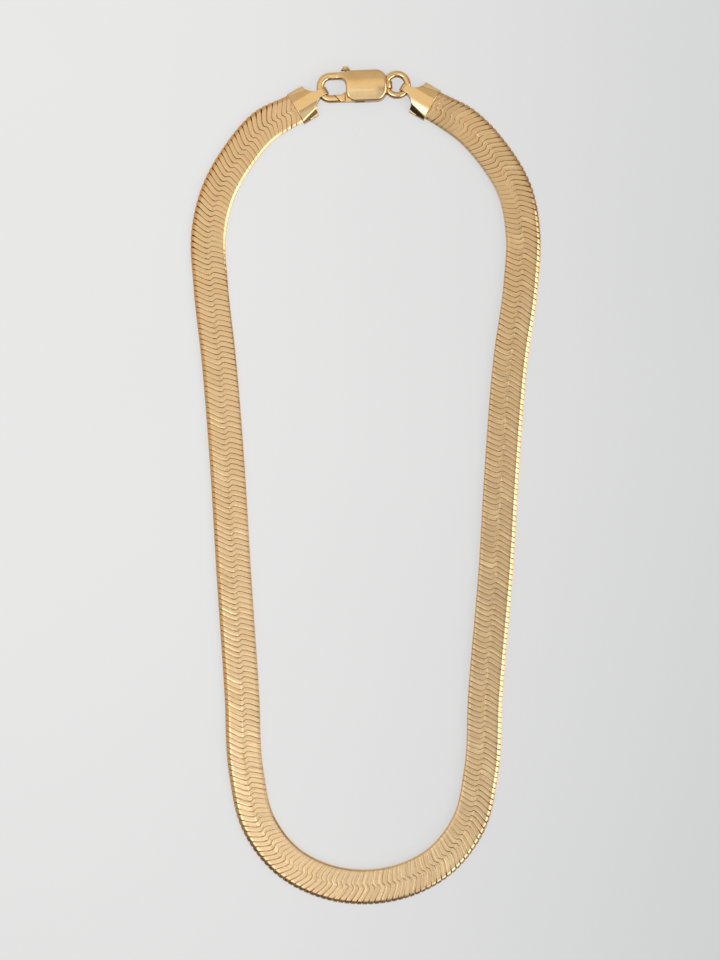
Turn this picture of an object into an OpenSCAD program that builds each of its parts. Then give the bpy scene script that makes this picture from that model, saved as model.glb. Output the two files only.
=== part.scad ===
// Herringbone chain necklace with a lobster clasp, laid flat in a long loop.
// All sizes are in millimetres. The chain lies on the plane z = 0, the clasp is at +Y,
// and the origin is on that plane, under the middle of the laid chain.

/* [Chain] */
// Width of the flat band
band_w = 8.3; // [7.6:0.1:10]
// Thickness of the flat band
band_t = 1.4; // [1.1:0.05:1.6]
// Length of one link along the band
link_pitch = 1.27; // [1.2:0.01:2.4]
// Width of the bevel along the band's outer edge, and along both edges inside the caps
bevel_w = 1.0; // [0.8:0.1:1.4]
// Width of the bevel along the band's inner edge
inner_bevel_w = 0.4; // [0.2:0.05:1]
// Depth of the groove between two links
groove_depth = 0.24; // [0.1:0.02:0.4]
// How far each groove notches the edges of the band
edge_notch = 0.2; // [0:0.02:0.35]
// Lean of the links in the outer row, in degrees
outer_lean = 30; // [20:1:34]
// Lean of the links in the inner row, in degrees
inner_lean = 17; // [8:1:26]
// Step of the grooves at the middle line, as a share of one link
middle_step = 0.55; // [0.3:0.05:0.7]
// Width of the band's last link, inside the cap
end_w = 6.0; // [5:0.1:6.2]
// Width of the band at the mouth of the cap
mouth_w = 7.4; // [6.8:0.1:7.4]
// Length over which the band widens outside the cap
widen_len = 9; // [5:1:20]

/* [End caps] */
// Length of a cap from the middle of its eye to its mouth
cap_len = 7.2; // [6.8:0.1:9]
// Length of the cap's straight body
cap_body_len = 4.1; // [3.6:0.1:4.3]
// Width of the cap's body
cap_w = 8.1; // [8:0.1:9.4]
// Height of the cap's crown
cap_h = 2.3; // [2.2:0.05:2.5]
// How far the crown falls towards the cap's sides
cap_fall = 0.5; // [0.3:0.05:0.6]
// Thickness of the cap's floor
cap_floor = 0.3; // [0.2:0.05:0.4]
// Thickness of the lip round the cap's foot
lip_t = 0.45; // [0.3:0.05:0.6]
// Width of the shoulder facet at the neck end
facet_w = 1.55; // [1:0.05:1.7]
// Depth of the band's end inside the cap
cap_grip = 2.8; // [2:0.1:3]
// Gap between the band's end and the inside of the cap
cap_gap = 0.08; // [0.05:0.01:0.12]
// Radius of the hollow curve between neck and shoulder
neck_r = 3.4; // [2.4:0.1:6]
// Slope of the caps below the clasp's line, in degrees
cap_slope = 30.5; // [20:0.5:40]

/* [Eyes] */
// Width of the strap that forms an eye
eye_w = 1.8; // [1.4:0.1:1.9]
// Thickness of the strap above and below an eye
eye_t = 0.35; // [0.3:0.05:0.45]
// Thickness of the strap at the far end of an eye
eye_end_t = 0.6; // [0.55:0.05:0.7]
// Gap between an eye and the ring or bar that it holds
eye_gap = 0.1; // [0.06:0.01:0.12]

/* [Jump ring] */
// Outer diameter of the jump ring
ring_d = 6.7; // [6.4:0.1:8]
// Diameter of the jump ring's wire
ring_wire = 1.6; // [1.2:0.1:1.6]
// Where the right cap pulls on the ring, in degrees below the clasp's line
ring_pull = 30; // [25:1:36]

/* [Clasp] */
// Length of the clasp's plate
plate_l = 9.9; // [9:0.1:12]
// How far the jump ring's wire sinks under the plate's end
tail_sink = 0.3; // [0.1:0.05:0.5]
// Width of the clasp's plate
plate_w = 7.4; // [6.8:0.1:9]
// Thickness of the clasp at the middle of its plate
plate_t = 3.1; // [3:0.1:3.6]
// How far the plate's face falls towards its edges
plate_fall = 0.35; // [0.1:0.05:0.4]
// Corner radius of the plate at the hook
plate_r_hook = 1.4; // [0.8:0.1:2]
// Corner radius of the plate at the tail
plate_r_tail = 2.7; // [1.5:0.1:3.2]
// Length of the hook, from the plate's edge to its nose
hook_l = 6.95; // [6.4:0.05:9]
// Width of the hook across its arms
hook_span = 7.2; // [6.8:0.1:8.4]
// Width of the hook's bar
hook_bar = 1.8; // [1.5:0.05:1.9]
// Outer radius of the hook's two bends
hook_r = 3.3; // [3:0.05:3.4]
// Length of the hook's free tip beyond its bend
tip_l = 1.45; // [1:0.05:1.8]
// Slant of the joint between tip and lever, in degrees
joint_slant = 43; // [35:1:46]
// Where the left cap pulls on the hook, in degrees below the clasp's line
hook_pull = 23; // [21:1:30]
// Tilt of the clasp on the surface, in degrees
clasp_tilt = 2.3; // [-5:0.1:5]

/* [Lever] */
// Thickness of the lever inside the clasp
lever_t = 0.9; // [0.7:0.05:0.9]
// Thickness of the lever's gate beside the hook's tip
gate_t = 1.3; // [1:0.05:1.5]
// Diameter of the pivot pin
pin_d = 0.9; // [0.6:0.05:1]
// Radius of the lever's round boss
boss_r = 1.0; // [0.9:0.05:1.2]
// Distance of the pivot from the plate's hook edge
pivot_x = 3.35; // [3:0.05:3.8]
// Height of the pivot above the clasp's middle line
pivot_y = 0.1; // [-0.1:0.05:0.2]
// Length of the thumb tab along the clasp
tab_l = 2.3; // [1.8:0.1:2.6]
// How far the thumb tab stands out beside the plate
tab_h = 0.95; // [0.8:0.05:1.4]
// Width of the thumb tab's top, as a share of its foot
tab_taper = 0.45; // [0.3:0.05:0.9]
// Widest opening of the lever, in degrees
lever_swing = 25; // [15:1:25]
// Gap between the lever and the clasp
lever_gap = 0.05; // [0.04:0.01:0.08]

/* [Hidden] */
$fn = 48;

gold_light = [0.90, 0.76, 0.53];
gold_deep = [0.83, 0.66, 0.40];
gold_pale = [0.94, 0.82, 0.61];

// The clasp's middle and the chain's route are laid out from one point,
// and all of it is then shifted so that the origin is under the middle.
clasp_at = [0.2, 95.3];

// Chosen points of the band's middle line, from the left cap down, round and up again.
route_points = [
    [-24, 86], [-30.5, 78.5], [-35, 70.5], [-37.5, 60], [-37, 48.5], [-35, 30],
    [-33, 5], [-31.5, -20], [-29.5, -50], [-28.5, -68],
    [-25.5, -80.5], [-18.5, -89.5], [-10, -94], [-0.5, -95.5], [9, -94], [17.5, -89.5],
    [24.5, -80.5], [27.5, -68], [28.5, -50], [31, -20], [32.5, 5],
    [34.5, 30], [37, 48.5], [37.5, 60], [35.5, 70.5], [30.5, 79], [24, 86]
];
span_steps = 8;

// The height of the middle of the hook, the jump ring and the eyes.
eye_mid_z = ring_wire / 2 + eye_gap + eye_t;
bar_t = ring_wire;
bar_round = 0.6;

function unit(v) = v / norm(v);
function along(angle) = [cos(angle), sin(angle)];
function turned(p, angle) = [p.x * cos(angle) - p.y * sin(angle), p.x * sin(angle) + p.y * cos(angle)];
function mix(a, b, t) = a + (b - a) * t;
function smooth(t) = let (c = max(0, min(1, t))) c * c * (3 - 2 * c);
function arc(centre, r, from, to, steps = 8) =
    [for (i = [0:steps]) centre + r * along(mix(from, to, i / steps))];

// Places in the clasp's own frame: x runs from hook to tail, y across it.
hook_edge_x = -plate_l / 2;
nose_x = hook_edge_x - hook_l;
bend_r = hook_r - hook_bar / 2;
arm_y = hook_span / 2 - hook_bar / 2;
hook_mid_y = hook_span / 2 - plate_w / 2;
bend_x = nose_x + hook_r;
bend_y = hook_span / 2 - hook_r;
pivot = [hook_edge_x + pivot_x, pivot_y];
tab_base_y = max(plate_w / 2, hook_mid_y + hook_span / 2) + 2 * lever_gap;
joint = [bend_x + tip_l, hook_mid_y - arm_y];
gate_end = joint + [lever_gap, 0];
tab_x = hook_edge_x + 0.1;
slot_t = lever_t + 2 * lever_gap;

// The jump ring's centre, and the two places where the caps' eyes hold on.
ring_mid_r = (ring_d - ring_wire) / 2;
tail_x = plate_l / 2 - tail_sink;
tail_end_x = tail_x + ring_wire / 2 + eye_gap + eye_end_t;
ring_x = tail_x + ring_mid_r;
ring_eye = [ring_x, 0] + ring_mid_r * along(-ring_pull);
hook_eye = [bend_x, hook_mid_y - bend_y] + bend_r * along(180 + hook_pull);

// A point of the clasp's frame, on the surface.
function placed(p) = clasp_at + turned(p, clasp_tilt);

// The two caps: the middle of the eye, and the direction from there to the mouth.
left_eye = placed(hook_eye);
right_eye = placed(ring_eye);
left_dir = along(180 + cap_slope);
right_dir = along(-cap_slope);
grip_start = cap_len - cap_grip;

// The band's middle line: straight inside each cap, and a smooth curve through the chosen points.
knots = concat([left_eye + cap_len * left_dir], route_points, [right_eye + cap_len * right_dir]);
last_knot = len(knots) - 1;
function chord(i) = norm(knots[i + 1] - knots[i]);
function heading(i) =
    i == 0 ? left_dir
    : i == last_knot ? -right_dir
    : let (before = chord(i - 1), after = chord(i))
        ((knots[i] - knots[i - 1]) * after / before + (knots[i + 1] - knots[i]) * before / after)
        / (before + after);
function on_span(i, t) =
    knots[i] * (1 + 2 * t) * (1 - t) * (1 - t)
    + heading(i) * chord(i) * t * (1 - t) * (1 - t)
    + knots[i + 1] * t * t * (3 - 2 * t)
    - heading(i + 1) * chord(i) * t * t * (1 - t);
line = concat(
    [left_eye + grip_start * left_dir],
    [for (i = [0:last_knot - 1], k = [0:span_steps - 1]) on_span(i, k / span_steps)],
    [knots[last_knot], right_eye + grip_start * right_dir]
);
last_point = len(line) - 1;

// Distance along the line at each of its points, and tables that give place and direction by it.
run = [for (i = 0, s = 0; i <= last_point; s = s + norm(line[min(i + 1, last_point)] - line[i]), i = i + 1) s];
band_len = run[last_point];
function line_dir(i) = unit(line[min(i + 1, last_point)] - line[max(i - 1, 0)]);
x_by_run = [for (i = [0:last_point]) [run[i], line[i].x]];
y_by_run = [for (i = [0:last_point]) [run[i], line[i].y]];
dx_by_run = [for (i = [0:last_point]) [run[i], line_dir(i).x]];
dy_by_run = [for (i = [0:last_point]) [run[i], line_dir(i).y]];

// Half the band's width, its bevels and the lift of its underside, by distance along it.
function from_end(s) = min(s, band_len - s);
function clear_of_cap(s) = smooth((from_end(s) - cap_grip) / widen_len);
function half_width(s) =
    from_end(s) < cap_grip
    ? mix(end_w, mouth_w, from_end(s) / cap_grip) / 2
    : mix(mouth_w, band_w, clear_of_cap(s)) / 2;
function bevel(s, side) = side > 0 ? bevel_w : mix(bevel_w, inner_bevel_w, clear_of_cap(s));
function lift(s) = (cap_floor + cap_gap) * (1 - clear_of_cap(s));

// A point of the band: s along it, v outwards from its middle line, z above its underside.
function band_point(s, v, z) =
    let (
        d = unit([lookup(s, dx_by_run), lookup(s, dy_by_run)]),
        p = [lookup(s, x_by_run), lookup(s, y_by_run)] + v * [d.y, -d.x] + shift
    )
    [p.x, p.y, z + lift(s)];

// The laid necklace's outline, which sets where the origin is.
tab_top = placed([tab_x, tab_base_y + tab_h]);
rim = [for (i = [0:last_point], side = [-1, 1])
    line[i] + side * half_width(run[i]) * [line_dir(i).y, -line_dir(i).x]];
rim_x = [for (p = rim) p.x];
rim_y = [for (p = rim) p.y];
shift = [-(min(rim_x) + max(rim_x)) / 2, -(min(rim_y) + tab_top.y) / 2];

// Links: each is a groove and a crest, leaning back along the outer row,
// stepping back at the middle line and leaning forward along the inner row.
// The lean fades out towards both ends of the band, which are square.
link_count = round(band_len / link_pitch);
link_len = band_len / link_count;
flat_w = band_w / 2 - bevel_w;
middle_w = 0.3;
rim_lean = 0.25;
fade_len = 5;
function lean_by(side, across, at_rim) =
    side > 0
    ? -across * tan(outer_lean) - at_rim * rim_lean
    : -middle_step * link_len + across * tan(inner_lean) + at_rim * rim_lean;
function leaned(s, by) = s + by * smooth(from_end(s) / fade_len);

// Points of a link's line across the band: at the middle, at the bevel's top and at the rim.
// The side is 1 for the outer row and -1 for the inner row.
function middle_point(s, side, z) =
    let (at = leaned(s, lean_by(side, 0, 0)))
    band_point(at, side * middle_w / 2, z);
function bevel_point(s, side, z) =
    let (at = leaned(s, lean_by(side, flat_w, 0)))
    band_point(at, side * (half_width(at) - bevel(at, side)), z);
function rim_point(s, side, notch) =
    let (at = leaned(s, lean_by(side, flat_w, 1)))
    band_point(at, side * (half_width(at) - notch), band_t / 2);

// One ring of the band's skin, round its section from the outer rim over the top to the inner rim.
function ring(k) =
    let (
        s = k * link_len / 2,
        grooved = k % 2 == 0 && k > 0 && k < 2 * link_count,
        notch = grooved ? edge_notch : 0,
        top = band_t - (grooved ? groove_depth : 0)
    )
    [
        rim_point(s, 1, notch), bevel_point(s, 1, top), middle_point(s, 1, top),
        middle_point(s, -1, top), bevel_point(s, -1, top), rim_point(s, -1, notch),
        bevel_point(s, -1, 0), bevel_point(s, 1, 0)
    ];

module chain() {
    rings = [for (k = [0:2 * link_count]) ring(k)];
    sides = len(rings[0]);
    last = len(rings) - 1;
    skin = [for (k = [0:last - 1], j = [0:sides - 1])
        let (
            a = k * sides + j,
            b = k * sides + (j + 1) % sides
        )
        each [[a, b, b + sides], [a, b + sides, a + sides]]];
    ends = [[for (j = [sides - 1:-1:0]) j], [for (j = [0:sides - 1]) last * sides + j]];
    color(gold_light)
        polyhedron(points = [for (r = rings) each r], faces = concat(skin, ends), convexity = 10);
}

// A cap in its own frame: the eye's middle at the origin, the mouth along +x.
shoulder_x = cap_len - cap_body_len;
half_cap = cap_w / 2;
side_lean = 0.5;
crown_w = half_cap - side_lean;
crown_r = (crown_w * crown_w + cap_fall * cap_fall) / (2 * cap_fall);
cap_side_z = cap_floor + cap_gap + band_t / 2;

// Where the curve of the given radius through two points has its centre, on the left of a to b.
function curve_centre(a, b, r) =
    let (d = b - a, h = sqrt(r * r - d * d / 4))
    (a + b) / 2 + h * unit([-d.y, d.x]);

module cap_plan(end_x) {
    neck = [eye_w / 2, eye_w / 2];
    shoulder = [shoulder_x, half_cap];
    centre = curve_centre(neck, shoulder, neck_r);
    from = atan2(neck.y - centre.y, neck.x - centre.x);
    to = atan2(shoulder.y - centre.y, shoulder.x - centre.x);
    half = concat(
        [[end_x, eye_w / 2]],
        arc(centre, neck_r, from, to),
        [[cap_len, half_cap]]
    );
    other = [for (i = [len(half) - 1:-1:0]) [half[i].x, -half[i].y]];
    polygon(concat(half, other));
}

// The cap seen from the side: a round eye, sloping down to the body's crown.
module cap_side(end_x) {
    top_z = 2 * eye_mid_z;
    polygon(concat(
        arc([end_x + eye_mid_z, eye_mid_z], eye_mid_z, 270, 90, 16),
        [[eye_w / 2, top_z], [shoulder_x, cap_h], [cap_len, cap_h], [cap_len, 0]]
    ));
}

// The cap seen along its axis: upright feet, leaning sides and a domed crown.
module cap_section() {
    dome = arc([0, cap_h - crown_r], crown_r, 90 - asin(crown_w / crown_r), 90 + asin(crown_w / crown_r));
    over_eye = 2 * eye_mid_z - cap_h;
    polygon(concat(
        [[-half_cap, 0], [half_cap, 0], [half_cap, cap_side_z]],
        [for (p = dome) [p.x, p.y + (abs(p.x) < eye_w ? over_eye * (1 - abs(p.x) / eye_w) : 0)]],
        [[-half_cap, cap_side_z]]
    ));
}

// The band's section with room round it, which is also the shape of the cap's hollow.
module band_section(w, room) {
    z = cap_floor;
    polygon([
        [w / 2 + room, z + room + band_t / 2],
        [w / 2 - bevel_w + room, z + 2 * room + band_t],
        [-w / 2 + bevel_w - room, z + 2 * room + band_t],
        [-w / 2 - room, z + room + band_t / 2],
        [-w / 2 + bevel_w - room, z],
        [w / 2 - bevel_w + room, z]
    ]);
}

// Runs a section drawn in y and z along x.
module along_x(from, to) {
    translate([from, 0, 0])
        rotate([90, 0, 90])
            linear_extrude(height = to - from, convexity = 4)
                children();
}

// Runs a side view drawn in x and z across y.
module across_y(w) {
    translate([0, w / 2, 0])
        rotate([90, 0, 0])
            linear_extrude(height = w, convexity = 4)
                children();
}

// Everything outside the plane through three points, on the side of its normal.
module beyond(a, b, c) {
    normal = unit(cross(c - a, b - a));
    size = 4 * cap_len;
    translate(a)
        rotate(a = acos(normal.z), v = [-normal.y, normal.x, 0])
            translate([-size / 2, -size / 2, 0])
                cube(size);
}

module cap_facets() {
    foot_y = half_cap - cap_gap;
    top_y = half_cap - facet_w;
    facet_z = cap_h - cap_fall * pow(top_y / crown_w, 2);
    for (side = [0, 1])
        mirror([0, side, 0])
            beyond(
                [shoulder_x, foot_y, lip_t],
                [cap_len, crown_w, cap_h - cap_fall],
                [shoulder_x, top_y, facet_z]
            );
}

module end_cap(held_w) {
    end_x = -held_w / 2 - eye_gap - eye_end_t;
    difference() {
        union() {
            difference() {
                intersection() {
                    linear_extrude(height = 2 * eye_mid_z)
                        cap_plan(end_x);
                    across_y(2 * cap_w)
                        cap_side(end_x);
                    along_x(end_x - 1, cap_len + 1)
                        cap_section();
                }
                cap_facets();
            }
            linear_extrude(height = lip_t)
                intersection() {
                    cap_plan(end_x);
                    translate([shoulder_x / 2, -half_cap])
                        square([cap_len, cap_w]);
                }
        }
        band_hollow();
    }
}

// The hollow for the band's end, which narrows inwards as the band does.
module band_hollow() {
    far_x = cap_len + cap_grip;
    far_w = 2 * mouth_w - end_w + 4 * cap_gap;
    intersection() {
        along_x(grip_start - cap_gap, far_x)
            band_section(mouth_w, cap_gap);
        linear_extrude(height = cap_h)
            polygon([
                [grip_start - cap_gap, -end_w / 2 - cap_gap],
                [grip_start - cap_gap, end_w / 2 + cap_gap],
                [far_x, far_w / 2],
                [far_x, -far_w / 2]
            ]);
    }
}

module on_surface(at, angle) {
    translate([at.x + shift.x, at.y + shift.y, 0])
        rotate([0, 0, angle])
            children();
}

// Each cap's eye is bored by what it holds, grown by the gap.
module end_cap_left() {
    color(gold_light)
        difference() {
            on_surface(left_eye, 180 + cap_slope)
                end_cap(hook_bar);
            on_surface(clasp_at, clasp_tilt)
                hook(eye_gap);
        }
}

module end_cap_right() {
    color(gold_light)
        difference() {
            on_surface(right_eye, -cap_slope)
                end_cap(ring_wire);
            on_surface(clasp_at, clasp_tilt)
                wire_ring(eye_gap);
        }
}

module jump_ring() {
    color(gold_deep)
        on_surface(clasp_at, clasp_tilt)
            wire_ring(0);
}

// The jump ring in the clasp's frame, grown on all sides where it bores an eye.
module wire_ring(grow) {
    translate([ring_x, 0, eye_mid_z])
        rotate_extrude()
            translate([ring_mid_r, 0])
                circle(d = ring_wire + 2 * grow);
}

// The section of the hook's bar: a rectangle with rounded corners.
module bar_section(grow) {
    x = hook_bar / 2 - bar_round;
    z = bar_t / 2 - bar_round;
    r = bar_round + grow;
    polygon(concat(
        arc([x, z], r, 0, 90, 4),
        arc([-x, z], r, 90, 180, 4),
        arc([-x, -z], r, 180, 270, 4),
        arc([x, -z], r, 270, 360, 4)
    ));
}

module bar(from, to, grow) {
    d = to - from;
    translate([from.x, from.y, eye_mid_z])
        rotate([0, 0, atan2(d.y, d.x)])
            rotate([90, 0, 90])
                linear_extrude(height = norm(d))
                    bar_section(grow);
}

module bend(centre, from, grow) {
    translate([centre.x, centre.y, eye_mid_z])
        rotate_extrude(angle = 90, start = from)
            translate([bend_r, 0])
                bar_section(grow);
}

// The hook: an arm, two bends round the nose, and a free tip cut on the slant.
module hook(grow) {
    upper = hook_mid_y + arm_y;
    lower = hook_mid_y - arm_y;
    bar_x = nose_x + hook_bar / 2;
    bar([bend_x, upper], [hook_edge_x + plate_r_hook, upper], grow);
    bend([bend_x, hook_mid_y + bend_y], 90, grow);
    bar([bar_x, hook_mid_y + bend_y], [bar_x, hook_mid_y - bend_y], grow);
    bend([bend_x, hook_mid_y - bend_y], 180, grow);
    difference() {
        bar([bend_x, lower], [joint.x + hook_bar, lower], grow);
        translate([joint.x - lever_gap, joint.y, 0])
            rotate([0, 0, joint_slant])
                translate([0, -2 * hook_bar, 0])
                    cube([4 * hook_bar, 4 * hook_bar, plate_t]);
    }
}

// The plate's outline, with small corners at the hook and large ones at the tail.
module plate_plan() {
    x = plate_l / 2;
    y = plate_w / 2;
    h = plate_r_hook;
    t = plate_r_tail;
    polygon(concat(
        arc([x - t, y - t], t, 0, 90),
        arc([-x + h, y - h], h, 90, 180),
        arc([-x + h, -y + h], h, 180, 270),
        arc([x - t, -y + t], t, 270, 360)
    ));
}

// The plate seen end on: flat underneath, with soft edges and a bowed face.
module plate_end_view() {
    edge = 0.35;
    half = plate_w / 2;
    r = (half * half + plate_fall * plate_fall) / (2 * plate_fall);
    a = asin((half - edge) / r);
    polygon(concat(
        [[-half, 0], [half, 0], [half, plate_t - plate_fall - edge]],
        arc([0, plate_t - r], r, 90 - a, 90 + a, 12),
        [[-half, plate_t - plate_fall - edge]]
    ));
}

// The room that the lever needs inside the clasp: its boss, its web and its swinging stem.
module lever_room() {
    stem_room = 0.2;
    past_edge = 1;
    right = pivot.x + boss_r + lever_gap;
    translate([0, 0, eye_mid_z - slot_t / 2])
        linear_extrude(height = slot_t)
            polygon([
                [hook_edge_x - past_edge, -plate_w],
                [right, -plate_w],
                [right, pivot.y + boss_r],
                [right - boss_r / 3, plate_w],
                [tab_x - tab_l / 4, plate_w],
                [hook_edge_x - stem_room, pivot.y + boss_r],
                [hook_edge_x - past_edge, pivot.y + boss_r]
            ]);
}

module clasp_body() {
    color(gold_light)
        on_surface(clasp_at, clasp_tilt)
            difference() {
                union() {
                    hook(0);
                    intersection() {
                        linear_extrude(height = plate_t)
                            plate_plan();
                        along_x(-plate_l, plate_l)
                            plate_end_view();
                    }
                    tail();
                }
                lever_room();
                wire_ring(eye_gap);
                pin();
            }
}

// The strap at the tail that goes down through the jump ring.
module tail() {
    round_x = tail_end_x - eye_mid_z;
    translate([round_x, eye_w / 2, eye_mid_z])
        rotate([90, 0, 0])
            cylinder(r = eye_mid_z, h = eye_w);
    translate([plate_l / 4, -eye_w / 2, 0])
        cube([round_x - plate_l / 4, eye_w, 2 * eye_mid_z]);
}

// The pin goes up through the lever's slot and a little way into the metal above it.
module pin() {
    pin_grip = 0.3;
    translate([pivot.x, pivot.y, 0])
        cylinder(d = pin_d, h = eye_mid_z + slot_t / 2 + pin_grip);
}

module clasp_pin() {
    color(gold_deep)
        on_surface(clasp_at, clasp_tilt)
            pin();
}

// The lever in the clasp's frame: a gate that closes the hook, a web to the pivot, and a thumb tab.
// The gate is higher at the plate than at the tip. The web runs on into the gate, and the stem
// from the pivot runs on into the tab.
gate_rise = 0.6;
web_reach = 0.6;
web_rise = 0.35;
web_back = 0.3;
stem_half = 0.45;
stem_reach = 0.3;

module gate_plan() {
    half = hook_bar / 2;
    slope = tan(joint_slant);
    polygon([
        gate_end + [-half * slope, half],
        gate_end + [half * slope, -half],
        [hook_edge_x - 2 * lever_gap, joint.y - half],
        [hook_edge_x - 2 * lever_gap, joint.y + half + gate_rise],
        [gate_end.x + 1, joint.y + half]
    ]);
}

module lever_plan() {
    half = hook_bar / 2;
    stem = unit([tab_x, plate_w / 2 + tab_h / 2] - pivot);
    side = stem_half * [-stem.y, stem.x];
    difference() {
        union() {
            translate(pivot)
                circle(r = boss_r);
            polygon([
                [hook_edge_x - web_reach, joint.y - half],
                [pivot.x - boss_r - web_back, joint.y - half],
                pivot + boss_r * along(-35),
                pivot + boss_r * along(125),
                [hook_edge_x - web_reach, joint.y + half + web_rise]
            ]);
            polygon([
                pivot + side,
                pivot - side,
                [tab_x + stem_half, tab_base_y + stem_reach],
                [tab_x - stem_half, tab_base_y + stem_reach]
            ]);
        }
        translate(pivot)
            circle(d = pin_d + 2 * lever_gap);
    }
}

module tab_plan() {
    top_y = tab_base_y + tab_h;
    half = tab_l / 2;
    polygon([
        [tab_x - half, tab_base_y],
        [tab_x + half, tab_base_y],
        [tab_x + half * tab_taper, top_y],
        [tab_x - half * tab_taper, top_y]
    ]);
}

module clasp_lever() {
    color(gold_pale)
        on_surface(clasp_at, clasp_tilt) {
            translate([0, 0, eye_mid_z - lever_t / 2])
                linear_extrude(height = lever_t)
                    lever_plan();
            translate([0, 0, eye_mid_z - gate_t / 2])
                linear_extrude(height = gate_t) {
                    gate_plan();
                    tab_plan();
                }
        }
}

chain();
end_cap_left();
end_cap_right();
jump_ring();
clasp_body();
clasp_pin();
clasp_lever();
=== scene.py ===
"""Herringbone chain necklace with a lobster clasp, laid flat in a long loop.

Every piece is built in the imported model's frame. Sizes in the classes are millimetres,
and are turned into Blender's metres when a mesh is made.
"""

import logging
import math
from collections.abc import Callable
from dataclasses import dataclass
from enum import Enum

import bpy
import numpy as np
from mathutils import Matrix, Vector
from mathutils.geometry import delaunay_2d_cdt


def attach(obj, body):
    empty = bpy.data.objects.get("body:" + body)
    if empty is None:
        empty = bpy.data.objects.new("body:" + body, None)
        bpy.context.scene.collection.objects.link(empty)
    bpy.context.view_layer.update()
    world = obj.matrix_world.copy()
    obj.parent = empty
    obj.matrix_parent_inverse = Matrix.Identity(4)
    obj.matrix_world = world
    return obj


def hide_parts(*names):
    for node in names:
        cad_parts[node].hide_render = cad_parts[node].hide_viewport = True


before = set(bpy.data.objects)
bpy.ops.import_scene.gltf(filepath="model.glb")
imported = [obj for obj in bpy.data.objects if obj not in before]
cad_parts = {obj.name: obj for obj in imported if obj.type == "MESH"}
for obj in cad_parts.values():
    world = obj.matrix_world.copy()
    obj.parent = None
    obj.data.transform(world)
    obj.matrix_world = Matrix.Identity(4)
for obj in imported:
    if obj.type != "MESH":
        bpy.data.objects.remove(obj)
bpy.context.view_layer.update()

MM = 0.001
log = logging.getLogger("necklace")

Colour = tuple[float, float, float]
Range = tuple[float, float]
Array = np.ndarray
Piece = bpy.types.Object
Socket = bpy.types.NodeSocket


# Plain maths


def smooth(t: Array) -> Array:
    """Rise softly from 0 at t = 0 to 1 at t = 1, and stay level outside."""
    clipped = np.clip(t, 0.0, 1.0)
    return clipped * clipped * (3.0 - 2.0 * clipped)


def along(degrees: float) -> Array:
    """Return the unit direction in the plane at an angle from +X."""
    angle = math.radians(degrees)
    return np.array([math.cos(angle), math.sin(angle)])


def turned(points: Array, degrees: float) -> Array:
    """Turn points about the vertical axis.

    Args:
        points: Array whose last axis holds x and y, and z or nothing more.
        degrees: Turn, counterclockwise seen from above.

    Returns:
        A turned copy of the points.
    """
    c, s = along(degrees)
    result = np.array(points, float)
    result[..., 0] = points[..., 0] * c - points[..., 1] * s
    result[..., 1] = points[..., 0] * s + points[..., 1] * c
    return result


def soft_min(a: Array, b: Array, blend: float) -> Array:
    """Return the lower of two heights, rounded over where they meet.

    Args:
        a: First height.
        b: Second height.
        blend: Difference of the heights below which they are blended.

    Returns:
        The lower height, less blend x share x (1 - share) where the two are close.
    """
    share = np.clip(0.5 + 0.5 * (b - a) / blend, 0.0, 1.0)
    return b + (a - b) * share - blend * share * (1.0 - share)


def edge_fall(distance: Array, radius: Array) -> Array:
    """Return how far a rounded edge lies below its face, by distance from the edge."""
    left = np.clip(radius - distance, 0.0, radius)
    return radius - np.sqrt(np.maximum(radius * radius - left * left, 0.0))


def arc(centre: tuple, radius: float, start: float, end: float, steps: int) -> Array:
    """Return points of an arc in the plane, both ends included, by its angles in degrees."""
    angles = np.radians(np.linspace(start, end, steps + 1))
    return np.stack([centre[0] + radius * np.cos(angles), centre[1] + radius * np.sin(angles)], -1)


def rounded_box(half_x: float, half_y: float, radius: float, steps: int) -> Array:
    """Return a rectangle's outline with round corners, counterclockwise from +X.

    Args:
        half_x: Half its width.
        half_y: Half its height.
        radius: Radius of its corners.
        steps: Steps round each corner.

    Returns:
        The outline, points x 2.
    """
    x = half_x - radius
    y = half_y - radius
    corners = [((x, y), 0), ((-x, y), 90), ((-x, -y), 180), ((x, -y), 270)]
    return np.concatenate([arc(c, radius, a, a + 90, steps) for c, a in corners])


def inset(outline: Array, distance: float) -> Array:
    """Move a counterclockwise outline inwards, its corners along their bisectors.

    Args:
        outline: Points x 2.
        distance: How far its sides move.

    Returns:
        The moved outline.
    """
    before = outline - np.roll(outline, 1, axis=0)
    after = np.roll(outline, -1, axis=0) - outline
    total = 0.0
    for edge in (before, after):
        unit = edge / np.linalg.norm(edge, axis=1, keepdims=True)
        total = total + np.stack([-unit[:, 1], unit[:, 0]], -1)
    return outline + distance * 2.0 * total / (total * total).sum(axis=1, keepdims=True)


def distance_from(rim: Array, points: Array) -> Array:
    """Return each point's distance from the nearest side of a closed outline.

    Args:
        rim: The outline, points x 2.
        points: Points x 2 to measure from.

    Returns:
        The distance of each point.
    """
    step = np.roll(rim, -1, axis=0) - rim
    away = points[:, None] - rim[None]
    t = np.clip((away * step).sum(-1) / (step * step).sum(-1), 0, 1)
    return np.linalg.norm(away - t[..., None] * step, axis=-1).min(axis=1)


# Mesh making


def link_object(name: str, data: bpy.types.ID) -> Piece:
    """Put a mesh or a camera into the scene as an object.

    Args:
        name: Name of the new object.
        data: Its mesh or camera.

    Returns:
        The new object.
    """
    made = bpy.data.objects.new(name, data)
    bpy.context.scene.collection.objects.link(made)
    return made


def make_mesh(name: str, points: Array, faces: list) -> Piece:
    """Make an object from points in millimetres and its faces.

    Args:
        name: Name of the new object.
        points: Points x 3.
        faces: Numbers of each face's points.

    Returns:
        The new object.
    """
    mesh = bpy.data.meshes.new(name)
    mesh.from_pydata((points * MM).tolist(), [], faces)
    return link_object(name, mesh)


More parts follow.
